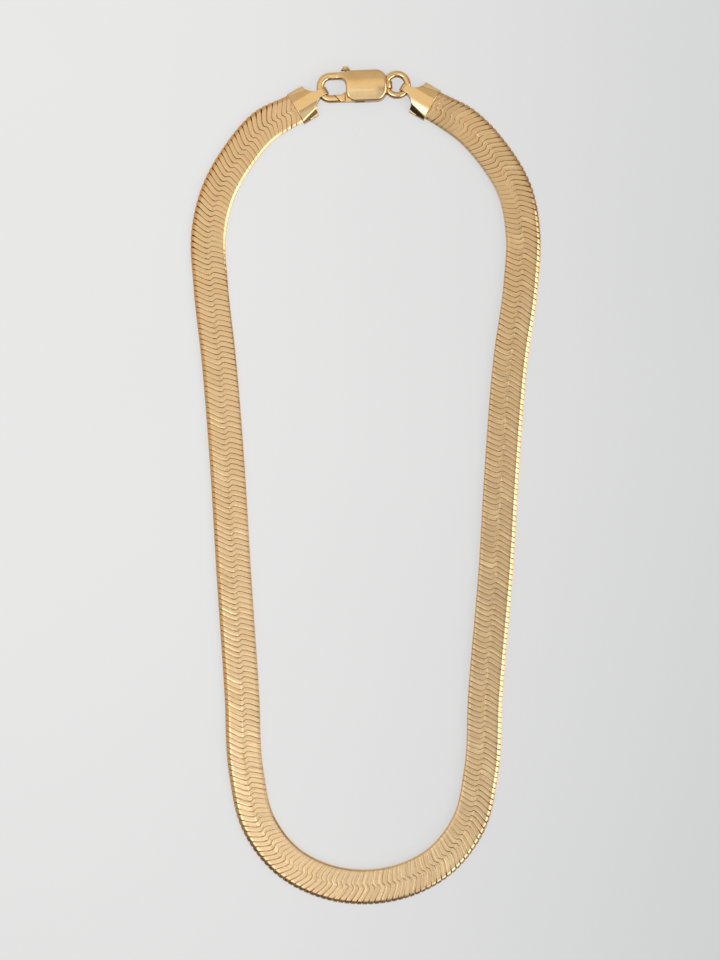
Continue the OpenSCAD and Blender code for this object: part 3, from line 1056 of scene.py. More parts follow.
@dataclass(frozen=True)
class HerringboneBand:
    """The flat chain: two rows of leaning links, a groove between each and the next."""

    width: float = 8.3
    mouth_width: float = 7.4
    end_width: float = 6.0
    thickness: float = 1.4
    rounding: float = 0.02
    pitch: float = 1.27
    outer_bevel: float = 1.0
    inner_bevel: float = 0.6
    straight_bevel: float = 0.38
    near_caps: float = 30.0
    near_foot: float = 45.0
    foot_calm: float = 0.5
    top_opening: float = 0.3
    grip: float = 2.8
    widen_len: float = 9.0
    cap_lift: float = 0.38
    pinch: float = 0.2
    pinch_from: float = 0.8
    pinch_len: float = 0.6
    fade_len: float = 3.2
    outer_lean: float = 1.75
    outer_slope: float = 0.2
    inner_lean: float = 1.15
    middle_step: float = 0.58
    step_len: float = 0.95
    rim_from: float = 2.3
    rim_len: float = 1.5
    seam_at: float = 0.4
    seam_len: float = 0.6
    seam_fill: float = 0.8
    groove_half: float = 0.066
    half_at_rim: float = 0.3
    half_at_seam: float = 0.7
    # How much grooves widen where the band bends, and what that gains at the rim.
    half_opening: tuple[float, float] = (2.0, 6.0)
    half_limits: Range = (0.03, 0.18)
    groove_depth: float = 0.1
    depth_play: Range = (0.65, 1.35)
    rim_notch: float = 0.16
    notch_from: float = 0.85
    crest: float = 0.03
    nod: float = 0.8
    roll: float = 0.35
    roll_axis: float = 2.0
    row_tilt: float = 0.1
    bend_calm: float = 7.0
    least_play: float = 0.25
    seed: int = 7

    # Lines across the band in one link: place along the link, what is added to it in half
    # widths of the groove, and how far the line lies in the groove.
    LINES = (
        (0.0, 0.0, 1.0),
        (0.0, 0.55, 0.5),
        (0.0, 1.0, 0.0),
        (0.36, 0.0, 0.0),
        (0.64, 0.0, 0.0),
        (1.0, -1.0, 0.0),
        (1.0, -0.55, 0.5),
    )

    def clear_of_cap(self, from_end: Array) -> Array:
        """Return 0 inside a cap, rising to 1 where the band has its full width."""
        return smooth((from_end - self.grip) / self.widen_len)

    def half_width(self, from_end: Array) -> Array:
        """Return half the band's width by distance from the nearer end.

        Args:
            from_end: Distance from the nearer end.

        Returns:
            Half the width at each place.
        """
        held = self.end_width + (self.mouth_width - self.end_width) * from_end / self.grip
        free = self.mouth_width + (self.width - self.mouth_width) * self.clear_of_cap(from_end)
        return np.where(from_end < self.grip, held, free) / 2

    def lean(self, side: Array, v: Array) -> Array:
        """Return how far a link runs forward along the band.

        The outer row leans back in a flat S from the middle to its rim. The inner row steps
        back just past the middle, and then sweeps forward to its rim.

        Args:
            side: 1 on the outer row, -1 on the inner row.
            v: Distance from the middle line.

        Returns:
            The distance forward at each point.
        """
        half = self.width / 2
        flat_s = self.outer_slope * v / half + (1 - self.outer_slope) * smooth(v / half)
        past = np.maximum(v - self.step_len, 0.0) / (half - self.step_len)
        inner = self.inner_lean * past**1.5 - self.middle_step * smooth(v / self.step_len)
        return np.where(side > 0, -self.outer_lean * flat_s, inner)

    def rim_share(self, v: Array) -> Array:
        """Return 0 over the middle of a row, rising to 1 at its rim."""
        return smooth((v - self.rim_from) / self.rim_len)

    def seam_share(self, v: Array) -> Array:
        """Return 1 where the two rows meet, falling to 0 a little way off."""
        return 1 - smooth(np.abs(v - self.seam_at) / self.seam_len)

    def play(self, chance: np.random.Generator, count: int, degrees: float) -> Array:
        """Return each link's small turn in both rows: partly its own, partly shared by a few.

        Args:
            chance: Seeded random generator.
            count: Number of links.
            degrees: Typical turn.

        Returns:
            Array of count x 2 turns in radians.
        """
        own = chance.normal(0.0, 1.0, (count, 2))
        wide = chance.normal(0.0, 1.0, (count + 8, 2))
        shared = sum(wide[i : i + count] for i in range(9)) / 3.0
        return np.radians(degrees) * (0.75 * own + 0.65 * shared)

    def build(self, route: Route, material: bpy.types.Material) -> Piece:
        """Make the band as one closed mesh, with link coordinates and groove depth on it.

        Args:
            route: The band's middle line.
            material: Its finish.

        Returns:
            The finished band.
        """
        length = route.length
        count = round(length / self.pitch)
        link_len = length / count
        chance = np.random.default_rng(self.seed)

        # Points of the section across, and lines of points along: all arrays are lines x points.
        section = np.array(OUTER_ROW.section()[::-1] + INNER_ROW.section())
        side, flat, bevel, height, top = section.T[:, None, :]
        lines = np.arange(count * len(self.LINES) + 1)
        part = lines % len(self.LINES)
        place, halves, in_groove = np.array(self.LINES)[part].T[..., None]
        base = (lines // len(self.LINES))[:, None] * link_len
        link = np.minimum(lines // len(self.LINES), count - 1)[:, None], (side < 0).astype(int)

        # Places along the band.
        from_end = np.minimum(base, length - base)
        near = 1 - smooth((from_end - self.near_caps) / self.near_caps)
        inner_len = self.straight_bevel + (self.inner_bevel - self.straight_bevel) * near
        bevel_len = np.where(side > 0, self.outer_bevel, inner_len)
        nominal = flat + bevel * bevel_len
        leaned = base + self.lean(side, nominal) * smooth(from_end / self.fade_len)
        bending = route.bend(leaned) * side * nominal
        rim = self.rim_share(nominal)
        seam = self.seam_share(nominal)
        opened = (self.half_opening[0] + self.half_opening[1] * rim) * bending
        half = self.groove_half * (1 + self.half_at_rim * rim + self.half_at_seam * seam + opened)
        f = place + halves * np.clip(half, *self.half_limits)
        s = np.clip(leaned + f * link_len, 0.0, length)
        from_tip = np.minimum(s, length - s)

        # Depth in the grooves, and distance from the middle line.
        outer, inner = (
            row.groove(nominal, rim, seam, from_end, bending) for row in (OUTER_ROW, INNER_ROW)
        )
        ends = (from_end > 0.01) * top
        upper = 1 - smooth(from_end / self.near_caps - 2)
        own = chance.uniform(*self.depth_play, (count + 1, 2))[link]
        groove = in_groove * ends * np.where(side > 0, outer, inner)
        groove = groove * own * (1 + self.top_opening * upper)
        room = self.half_width(from_tip) - bevel_len
        on_flat = flat * room / (self.width / 2 - bevel_len)
        v = np.where(bevel > 0, room + bevel * bevel_len, on_flat)
        v = v - self.rim_notch * np.minimum(groove, 1.0) * (bevel >= self.notch_from)

        # Heights.
        crown = self.crest * (1 - np.clip(np.abs(f - 0.5) / 0.5, 0, 1) ** 2)
        nodding = self.play(chance, count, self.nod)[link] * (f - 0.5) * link_len
        rolling = self.play(chance, count, self.roll)[link] * (nominal - self.roll_axis)
        fall = nominal * math.tan(math.radians(self.row_tilt))
        carved = groove * (1 - self.seam_fill * seam)
        foot = 1 - smooth((length / 2 - from_end) / self.near_foot - 1)
        loose = np.clip(1 + self.bend_calm * bending, self.least_play, 1.0)
        loose = loose * (1 - self.foot_calm * foot)
        relief = loose * (crown + nodding) + rolling - fall - self.groove_depth * carved
        past = from_end - self.pinch_from * self.grip
        pinched = smooth(past / (self.pinch_len * self.grip))
        relief = relief - self.pinch * (1 - pinched)
        z = height * (self.thickness + self.rounding) + relief * np.clip((height - 0.3) / 0.4, 0, 1)
        z = np.maximum(z, 0.0) + self.cap_lift * (1 - self.clear_of_cap(from_tip))

        x, y = route.at(s, v * side)
        band = skin("herringbone_band", np.stack([x, y, z], -1))
        self.add_maps(band, base / link_len + f, v * side, groove)
        shade(band, 11.0)
        return dress(band, material, "chain")

    def add_maps(self, band: Piece, link: Array, across: Array, groove: Array) -> None:
        """Store link coordinates as a UV map and the grooves as an attribute.

        Args:
            band: The band, whose mesh ends with the middle points of its two ends.
            link: Links from the band's start, for each point.
            across: Distance across the band.
            groove: Depth in a groove, as a share of the full depth.
        """
        mesh = band.data
        link, across, depth = (
            np.append(values.ravel(), [0.0, 0.0]).astype(np.float32)
            for values in (link, across, np.clip(groove, 0, 1))
        )
        mesh.attributes.new("groove", "FLOAT", "POINT").data.foreach_set("value", depth)
        corners = np.zeros(len(mesh.loops), int)
        mesh.loops.foreach_get("vertex_index", corners)
        places = np.column_stack([link, across])[corners]
        mesh.uv_layers.new(name="links").data.foreach_set("uv", places.ravel())


# The end caps


class CapSide(Enum):
    """The two end caps."""

    LEFT = "left"
    RIGHT = "right"


@dataclass(frozen=True)
class EndCap:
    """A crimped cap: an eye strap that spreads in hollow curves to a faceted body.

    In its own frame u runs from the eye to the mouth, and v across.
    """

    length: float = 7.2
    body_len: float = 4.1
    width: float = 8.1
    height: float = 2.6
    fall: float = 0.95
    floor: float = 0.3
    lip: float = 0.95
    facet_width: float = 1.55
    foot_lip: float = 0.4
    crown_inset: float = 0.5
    lean_rise: float = 0.25
    lean_slope: float = 2.0
    facet_blend: float = 0.1
    lean_blend: float = 0.35
    lip_blend: float = 0.06
    grip: float = 2.8
    gap: float = 0.08
    neck_radius: float = 3.4
    eye_width: float = 1.8
    eye_end: float = 0.6
    edge: float = 0.14
    under_edge: float = 0.1
    mouth_edge: float = 0.24
    least_height: float = 0.004
    held_thickness: float = 1.2
    mouth_width: float = 7.4
    end_width: float = 6.0
    outer_bevel: float = 1.0
    rows_across: int = 97

    @property
    def shoulder_u(self) -> float:
        """Where the body begins."""
        return self.length - self.body_len

    @property
    def held_mid_z(self) -> float:
        """Middle height of the band's end in the cap."""
        return self.floor + self.gap + self.held_thickness / 2

    def half_width(self, u: Array) -> Array:
        """Return half the cap's width by distance from the eye: strap, hollow arc, body.

        Args:
            u: Distance from the eye.

        Returns:
            Half the width at each place.
        """
        neck = np.array([self.eye_width / 2, self.eye_width / 2])
        shoulder = np.array([self.shoulder_u, self.width / 2])
        d = shoulder - neck
        rise = math.sqrt(self.neck_radius**2 - float(d @ d) / 4)
        centre = (neck + shoulder) / 2 + rise * np.array([-d[1], d[0]]) / np.linalg.norm(d)
        inside = np.maximum(self.neck_radius**2 - (u - centre[0]) ** 2, 0.0)
        curve = centre[1] - np.sqrt(inside)
        return np.where(u < neck[0], neck[1], np.where(u > shoulder[0], shoulder[1], curve))

    def top(self, u: Array, v: Array) -> Array:
        """Return the height of the cap's upper side.

        It is the lowest of a dome, height - fall x (v / crown)^2, a flat facet through three
        corners, and a steep lean at the side. It keeps above the lip and has rounded edges.

        Args:
            u: Distance from the eye.
            v: Distance from the middle line.

        Returns:
            The height at each point.
        """
        across = np.abs(v)
        crown_v = self.width / 2 - self.crown_inset
        top_v = self.width / 2 - self.facet_width
        dome = self.height - self.fall * (across / crown_v) ** 2
        corners = np.array([
            [self.shoulder_u, self.width / 2 - self.foot_lip, self.lip],
            [self.length, crown_v, self.height - self.fall],
            [self.shoulder_u, top_v, self.height - self.fall * (top_v / crown_v) ** 2],
        ])
        normal = np.cross(corners[1] - corners[0], corners[2] - corners[0])
        facet = corners[0, 2] - (
            normal[0] * (u - corners[0, 0]) + normal[1] * (across - corners[0, 1])
        ) / normal[2]
        lean = self.held_mid_z + self.lean_rise + self.lean_slope * (self.width / 2 - across)
        z = soft_min(soft_min(dome, facet, self.facet_blend), lean, self.lean_blend)
        lip = np.where(u > self.shoulder_u / 2, self.lip, 0.0)
        z = -soft_min(-z, -lip, self.lip_blend)
        z -= edge_fall(self.half_width(u) - across, self.edge)
        return z - edge_fall(self.length - u, self.mouth_edge)

    def solid(self, name: str, held: float) -> Piece:
        """Make the cap without its bores, in its own frame.

        Args:
            name: Name of the new object.
            held: Width of the bar or wire in its eye.

        Returns:
            The new object.
        """
        mid = LAYOUT.eye_mid_z
        end_u = -held / 2 - LAYOUT.eye_gap - self.eye_end
        nose = end_u + mid * (1 - np.cos(np.linspace(0.06, math.pi / 2, 14)))
        neck = np.linspace(nose[-1], self.shoulder_u, 32)[1:]
        body = np.linspace(self.shoulder_u, self.length - self.mouth_edge, 44)[1:]
        mouth = self.length - self.mouth_edge * np.array([0.7, 0.45, 0.25, 0.1, 0.0])
        u = np.concatenate([nose, neck, body, mouth])[:, None]
        # The eye's end is a half round: reach is half its height.
        reach = np.sqrt(np.maximum(mid**2 - np.maximum(mid - (u - end_u), 0.0) ** 2, 0.0))
        low = mid - reach
        half = self.half_width(u)
        v = half * np.sin(np.linspace(math.pi / 2, -math.pi / 2, self.rows_across))[None, :]
        high = np.minimum(self.top(u, v), mid + reach - edge_fall(half - np.abs(v), self.edge))
        high = np.maximum(high, low + self.least_height)
        under_v = half * np.array([-1.0, -0.97, 0.0, 0.97, 1.0])[None, :]
        under_z = low + np.array([0.5, 0.0, 0.0, 0.0, 0.5])[None, :] * self.under_edge
        ring_v = np.concatenate([v, under_v], axis=1)
        ring_z = np.concatenate([high, np.minimum(under_z, high[:, :1])], axis=1)
        ring_u = np.broadcast_to(u, ring_v.shape)
        return skin(name, np.stack([ring_u, ring_v, ring_z], -1))

    def hollow(self) -> Piece:
        """Make the room for the band's end, open at the mouth.

        Returns:
            The solid to cut out.
        """
        start = self.length - self.grip - self.gap
        far = self.length + self.grip
        top_z = self.floor + 2 * self.gap + self.held_thickness
        ring = []
        for u, half in ((start, self.end_width / 2), (far, self.mouth_width - self.end_width / 2)):
            rim = half + self.gap
            inner = rim - self.outer_bevel
            profile = [(rim, self.held_mid_z), (inner, top_z), (-inner, top_z)]
            profile += [(-rim, self.held_mid_z), (-inner, self.floor), (inner, self.floor)]
            ring.append([(u, v, z) for v, z in profile])
        return skin("hollow", np.array(ring))

    def build(
        self,
        side: CapSide,
        held: float,
        borer: Piece,
        material: bpy.types.Material,
    ) -> Piece:
        """Make one cap.

        Args:
            side: Which cap it is.
            held: Width of the bar or wire in its eye.
            borer: That bar or wire, grown by the gap, which bores the eye.
            material: Its finish.

        Returns:
            The finished cap.
        """
        left = side is CapSide.LEFT
        at = LAYOUT.left_eye if left else LAYOUT.right_eye
        angle = 180 + LAYOUT.cap_slope if left else -LAYOUT.cap_slope
        parts = self.solid(f"crimp_cap_{side.value}", held), self.hollow()
        body, hollow = (LAYOUT.placed(part, at, angle) for part in parts)
        cap = boolean(body, [], [hollow, borer])
        shade(cap, 38.0)
        return dress(cap, material, f"end_cap_{side.value}")


# The jump ring and the clasp


@dataclass(frozen=True)
class JumpRing:
    """The round ring between the right cap and the clasp."""

    diameter: float = 6.7
    wire: float = 1.6
    centre_x: float = 7.2

    def torus(self, name: str, grow: float) -> Piece:
        """Make the ring in its place.

        Args:
            name: Name of the new object.
            grow: How much its wire grows on all sides.

        Returns:
            The new object.
        """
        middle = (self.diameter - self.wire) / 2
        section = arc((middle, 0.0), self.wire / 2 + grow, 0, 360, 40)[:-1]
        turns = np.radians(np.arange(0, 360, 3.0))[:, None]
        x = self.centre_x + section[None, :, 0] * np.cos(turns)
        y = section[None, :, 0] * np.sin(turns)
        z = np.broadcast_to(LAYOUT.eye_mid_z + section[None, :, 1], x.shape)
        return LAYOUT.on_clasp(skin(name, np.stack([x, y, z], -1), loop=True))

    def build(self, material: bpy.types.Material) -> Piece:
        """Make the finished ring.

        Args:
            material: Its finish.

        Returns:
            The finished ring.
        """
        ring = self.torus("wire_jump_ring", 0.0)
        shade(ring, 38.0)
        return dress(ring, material, "jump_ring")


@dataclass(frozen=True)
class LobsterClasp:
    """The clasp in its own frame: x from hook to tail, y across it."""

    plate_len: float = 9.9
    plate_width: float = 7.4
    plate_height: float = 3.1
    plate_fall: float = 0.75
    plate_rise: float = 0.7
    hook_corner: float = 1.4
    step_corner: float = 0.6
    step_len: float = 0.8
    low_corner: float = 2.2
    tail_corner: float = 2.7
    tail_dip: float = 0.12
    dip_from: float = 0.2
    dip_rate: float = 2.2
    web_round: float = 1.3
    arm_inset: float = 0.05
    arm_ramp: float = 2.3
    arm_past: float = 0.3
    arm_edge: float = 0.55
    edge_loss: float = 0.2
    tail_edge: float = 0.45
    tail_edge_from: float = 2.0
    tail_edge_len: float = 3.0
    low_edge: float = 0.45
    low_edge_loss: float = 0.25
    hook_len: float = 6.95
    hook_span: float = 7.2
    bar_width: float = 1.8
    bar_height: float = 1.6
    bar_round: float = 0.75
    bend: float = 3.3
    tip: float = 1.45
    joint_slant: float = 43.0
    tail_sink: float = 0.3
    tail_round: float = 0.24
    eye_width: float = 1.8
    eye_end: float = 0.6
    wire: float = 1.6
    slot_height: float = 1.0
    past_edge: float = 1.0
    stem_room: float = 0.2
    lever_height: float = 0.9
    gate_height: float = 1.3
    gate_edge: float = 0.34
    gate_root: float = 0.6
    root_from: float = 1.0
    web_past: float = 0.6
    web_inset: float = 0.3
    web_root: float = 0.35
    web_edge: float = 0.04
    # How far the stem reaches right and left of the tab's middle.
    stem: tuple[float, float] = (0.5, 0.4)
    stem_in_tab: float = 0.3
    gap: float = 0.05
    boss: float = 1.0
    pin: float = 0.9
    pin_grip: float = 0.3
    bore_low: float = -0.5
    pivot_x: float = 3.35
    pivot_y: float = 0.1
    tab_len: float = 2.3
    tab_height: float = 0.95
    tab_taper: float = 0.45
    # Corner between the tab's foot and top: shares of half its length and of its height.
    tab_waist: tuple[float, float] = (0.8, 0.45)
    tab_edge: float = 0.3
    tab_offset: float = 0.1

    @property
    def edge_x(self) -> float:
        """Plate's edge at the hook."""
        return -self.plate_len / 2

    @property
    def mid_y(self) -> float:
        """Middle of the hook across the clasp."""
        return (self.hook_span - self.plate_width) / 2

    @property
    def arm_y(self) -> float:
        """Distance of each arm's middle from the middle of the hook."""
        return (self.hook_span - self.bar_width) / 2

    @property
    def bend_at(self) -> tuple[float, float]:
        """Centre of the upper bend, with y from the middle of the hook."""
        return self.edge_x - self.hook_len + self.bend, self.hook_span / 2 - self.bend

    @property
    def joint(self) -> Array:
        """Place where the tip meets the gate."""
        return np.array([self.bend_at[0] + self.tip, self.mid_y - self.arm_y])

    @property
    def pivot(self) -> Array:
        """Middle of the pin."""
        return np.array([self.edge_x + self.pivot_x, self.pivot_y])

    @property
    def tab_x(self) -> float:
        """Middle of the thumb tab."""
        return self.edge_x + self.tab_offset

    def hook(self, name: str, grow: float) -> Piece:
        """Make the hook, from inside the plate round the nose to its slanted tip.

        Args:
            name: Name of the new object.
            grow: How much its bar grows on all sides.

        Returns:
            The new object.
        """
        x, y = self.bend_at
        r = self.bend - self.bar_width / 2
        start = self.edge_x + self.hook_corner
        upper = self.mid_y + self.arm_y
        joint = self.joint
        path = np.concatenate([
            np.column_stack([np.linspace(start, x, 14), np.full(14, upper)])[:-1],
            arc((x, self.mid_y + y), r, 90, 180, 18),
            arc((x, self.mid_y - y), r, 180, 270, 18),
            np.column_stack([np.linspace(x, joint[0] - self.gap, 8), np.full(8, joint[1])])[1:],
        ])
        section = rounded_box(
            self.bar_width / 2 + grow, self.bar_height / 2 + grow, self.bar_round + grow, 6
        )
        slant = -math.tan(math.radians(self.joint_slant))
        return LAYOUT.on_clasp(sweep(name, path, section, LAYOUT.eye_mid_z, slant))

    def plate_outline(self) -> Array:
        """Return the outline of the plate and of the arm that runs out of it into the hook.

        Returns:
            The counterclockwise outline, points x 2.
        """
        x = self.plate_len / 2
        y = self.plate_width / 2
        step, tail, low, web = self.step_corner, self.tail_corner, self.low_corner, self.web_round
        arm_top = self.mid_y + self.hook_span / 2 - self.arm_inset
        arm_low = self.mid_y + self.hook_span / 2 - self.bar_width + self.arm_inset
        arm_x = self.bend_at[0] + self.arm_past
        return np.concatenate([
            arc((x - tail, y - tail), tail, 0, 90, 16),
            arc((-x + self.plate_rise, y - step), step, 90, 160, 5),
            [[-x - self.step_len, arm_top], [arm_x, arm_top], [arm_x, arm_low]],
            arc((-x - web, arm_low - web), web, 90, 0, 12),
            arc((-x + low, -y + low), low, 180, 270, 16),
            arc((x - tail, -y + tail), tail, 270, 360, 16),
        ])

    def plate(self) -> Piece:
        """Make the plate: flat underneath, with a bowed face that runs smoothly into the arm.

        The face is height - fall x (y / half)^2, a little lower towards the tail. Its edge is
        rounder on the arm and at the tail than on the plate.

        Returns:
            The plate in its place.
        """
        half = self.plate_width / 2
        arm_top = LAYOUT.eye_mid_z + self.bar_height / 2 - self.arm_inset
        arm_low = LAYOUT.eye_mid_z - self.bar_height / 2 + self.arm_inset

        def plate_share(x: Array) -> Array:
            """Return 0 on the arm, rising to 1 on the plate."""
            return smooth((x - self.edge_x + self.arm_ramp) / (self.arm_ramp + self.plate_rise))

        def top(x: Array, y: Array, inside: Array) -> Array:
            """Return the height of the upper face.

            Args:
                x: Place along the clasp.
                y: Place across it.
                inside: Distance from the outline.

            Returns:
                The height at each point.
            """
            share = plate_share(x)
            dome = self.plate_height - self.plate_fall * (y / half) ** 2
            past = x - self.dip_from * self.plate_len
            dip = smooth(past / self.plate_len * self.dip_rate)
            dome = dome - self.tail_dip * dip
            at_tail = smooth((x - self.tail_edge_from) / self.tail_edge_len)
            radius = self.arm_edge - self.edge_loss * share + self.tail_edge * at_tail
            return arm_top + (dome - arm_top) * share - edge_fall(inside, radius)

        def low(x: Array, y: Array, inside: Array) -> Array:
            """Return the height of the lower face.

            Args:
                x: Place along the clasp.
                y: Place across it; not used.
                inside: Distance from the outline.

            Returns:
                The height at each point.
            """
            share = plate_share(x)
            radius = self.low_edge - self.low_edge_loss * share
            return arm_low * (1 - share) + edge_fall(inside, radius)

        return LAYOUT.on_clasp(cushion("lobster_clasp_body", self.plate_outline(), top, low))

    def tail(self) -> Piece:
        """Make the strap that goes down through the jump ring, rounded at its end.

        Returns:
            The strap in its place.
        """
        mid = LAYOUT.eye_mid_z
        end_x = (
            self.plate_len / 2 - self.tail_sink + self.wire / 2 + LAYOUT.eye_gap + self.eye_end
        )
        angles = np.linspace(math.pi / 2, 0.05, 16)
        x = np.concatenate([[self.plate_len / 4], end_x - mid + mid * np.cos(angles)])
        reach = np.concatenate([[mid], mid * np.sin(angles)])
        rings = []
        for station, r in zip(x, reach):
            outline = rounded_box(self.eye_width / 2, r, min(self.tail_round, 0.9 * r), 5)
            rings.append(
                np.column_stack([np.full(len(outline), station), outline[:, 0], mid + outline[:, 1]])
            )
        return LAYOUT.on_clasp(skin("tail", np.stack(rings)))

    def lever_room(self) -> Piece:
        """Make the slot that the lever swings in.

        Returns:
            The solid to cut out.
        """
        right = self.pivot[0] + self.boss + self.gap
        top = self.pivot[1] + self.boss
        outline = np.array([
            [self.edge_x - self.past_edge, -self.plate_width],
            [right, -self.plate_width],
            [right, top],
            [right - self.boss / 3, self.plate_width],
            [self.tab_x - self.tab_len / 4, self.plate_width],
            [self.edge_x - self.stem_room, top],
            [self.edge_x - self.past_edge, top],
        ])
        z = LAYOUT.eye_mid_z
        half = self.slot_height / 2
        return LAYOUT.on_clasp(prism("lever_room", outline, z - half, z + half))

    def bore(self, name: str, diameter: float, high: float) -> Piece:
        """Make an upright round bore at the pivot, from below the clasp to a height."""
        outline = self.pivot + arc((0.0, 0.0), diameter / 2, 0, 360, 32)[:-1]
        return LAYOUT.on_clasp(prism(name, outline, self.bore_low, high))

    def build_body(self, ring: JumpRing, material: bpy.types.Material) -> Piece:
        """Make plate, hook and tail as one piece, with room for the ring, the lever and the pin.

        Args:
            ring: The jump ring that its tail holds.
            material: Its finish.

        Returns:
            The finished body.
        """
        pin_top = LAYOUT.eye_mid_z + self.slot_height / 2 + self.pin_grip
        body = boolean(
            self.plate(),
            [self.hook("hook", 0.0), self.tail()],
            [
                self.lever_room(),
                ring.torus("ring_room", LAYOUT.eye_gap),
                self.bore("pin_bore", self.pin, pin_top),
            ],
        )
        shade(body, 32.0)
        return dress(body, material, "clasp_body")

    def lever_slab(self, name: str, outline: Array, height: float, edge: float) -> Piece:
        """Make one slab of the lever, centred on the clasp's middle height.

        Args:
            name: Name of the new object.
            outline: Counterclockwise outline, points x 2.
            height: Its height.
            edge: Radius of its edges.

        Returns:
            The new object.
        """
        low = LAYOUT.eye_mid_z - height / 2
        return LAYOUT.on_clasp(slab(name, outline, low, low + height, edge, 5))

    def gate_outline(self) -> Array:
        """Return the outline of the bar that closes the hook, its end slanted like the tip.

        Returns:
            The counterclockwise outline, points x 2.
        """
        half = self.bar_width / 2
        slope = math.tan(math.radians(self.joint_slant))
        start = self.joint + [self.gap, 0.0]
        back = self.edge_x - 2 * self.gap
        return np.array([
            start + [half * slope, -half],
            [back, start[1] - half],
            [back, start[1] + half + self.gate_root],
            [start[0] + self.root_from, start[1] + half],
            start + [-half * slope, half],
        ])

    def web_outline(self, tab_y: float) -> Array:
        """Return the outline of the web, the boss and the stem, which ends in the tab.

        Args:
            tab_y: Where the thumb tab begins.

        Returns:
            The counterclockwise outline, points x 2.
        """
        half = self.bar_width / 2
        y = self.joint[1]
        pivot = self.pivot
        start = self.edge_x - self.web_past
        return np.array([
            [start, y - half],
            [pivot[0] - self.boss - self.web_inset, y - half],
            *(pivot + self.boss * along(angle) for angle in (-35, 10, 45, 85)),
            [self.tab_x + self.stem[0], tab_y + self.stem_in_tab],
            [self.tab_x - self.stem[1], tab_y + self.stem_in_tab],
            pivot + self.boss * along(155),
            [start, y + half + self.web_root],
        ])

    def tab_outline(self, tab_y: float) -> Array:
        """Return the outline of the thumb tab, narrower at its top.

        Args:
            tab_y: Where the thumb tab begins.

        Returns:
            The counterclockwise outline, points x 2.
        """
        long = self.tab_len / 2
        short = long * self.tab_taper
        top_y = tab_y + self.tab_height
        waist_x = self.tab_waist[0] * long
        waist_y = tab_y + self.tab_waist[1] * self.tab_height
        return np.array([
            [self.tab_x - long, tab_y], [self.tab_x + long, tab_y],
            [self.tab_x + waist_x, waist_y],
            [self.tab_x + short, top_y], [self.tab_x - short, top_y],
            [self.tab_x - waist_x, waist_y],
        ])

    def build_lever(self, material: bpy.types.Material) -> Piece:
        """Make the lever: the gate, the web, the boss, the stem and the thumb tab.

        Args:
            material: Its finish.

        Returns:
            The finished lever.
        """
        tab_y = max(self.plate_width / 2, self.mid_y + self.hook_span / 2) + 2 * self.gap
        gate, web, tab = (
            self.lever_slab(name, outline, height, edge)
            for name, outline, height, edge in (
                ("spring_lever", self.gate_outline(), self.gate_height, self.gate_edge),
                ("web", self.web_outline(tab_y), self.lever_height, self.web_edge),
                ("tab", self.tab_outline(tab_y), self.gate_height, self.tab_edge),
            )
        )
        bore = self.bore("boss_bore", self.pin + 2 * self.gap, self.plate_height)
        lever = boolean(gate, [web, tab], [bore])
        shade(lever, 32.0)
        return dress(lever, material, "clasp_lever", "lever")


# Surface, light and camera


@dataclass(frozen=True)
class Lobe:
    """A soft round patch of light in the sky. Angles are degrees."""

    azimuth: float
    elevation: float
    inner: float
    outer: float
    radiance: float

    @property
    def direction(self) -> tuple[float, float, float]:
        """Unit direction towards the patch; azimuth counts from +X towards +Y."""
        x, y = along(self.azimuth) * math.cos(math.radians(self.elevation))
        return float(x), float(y), math.sin(math.radians(self.elevation))


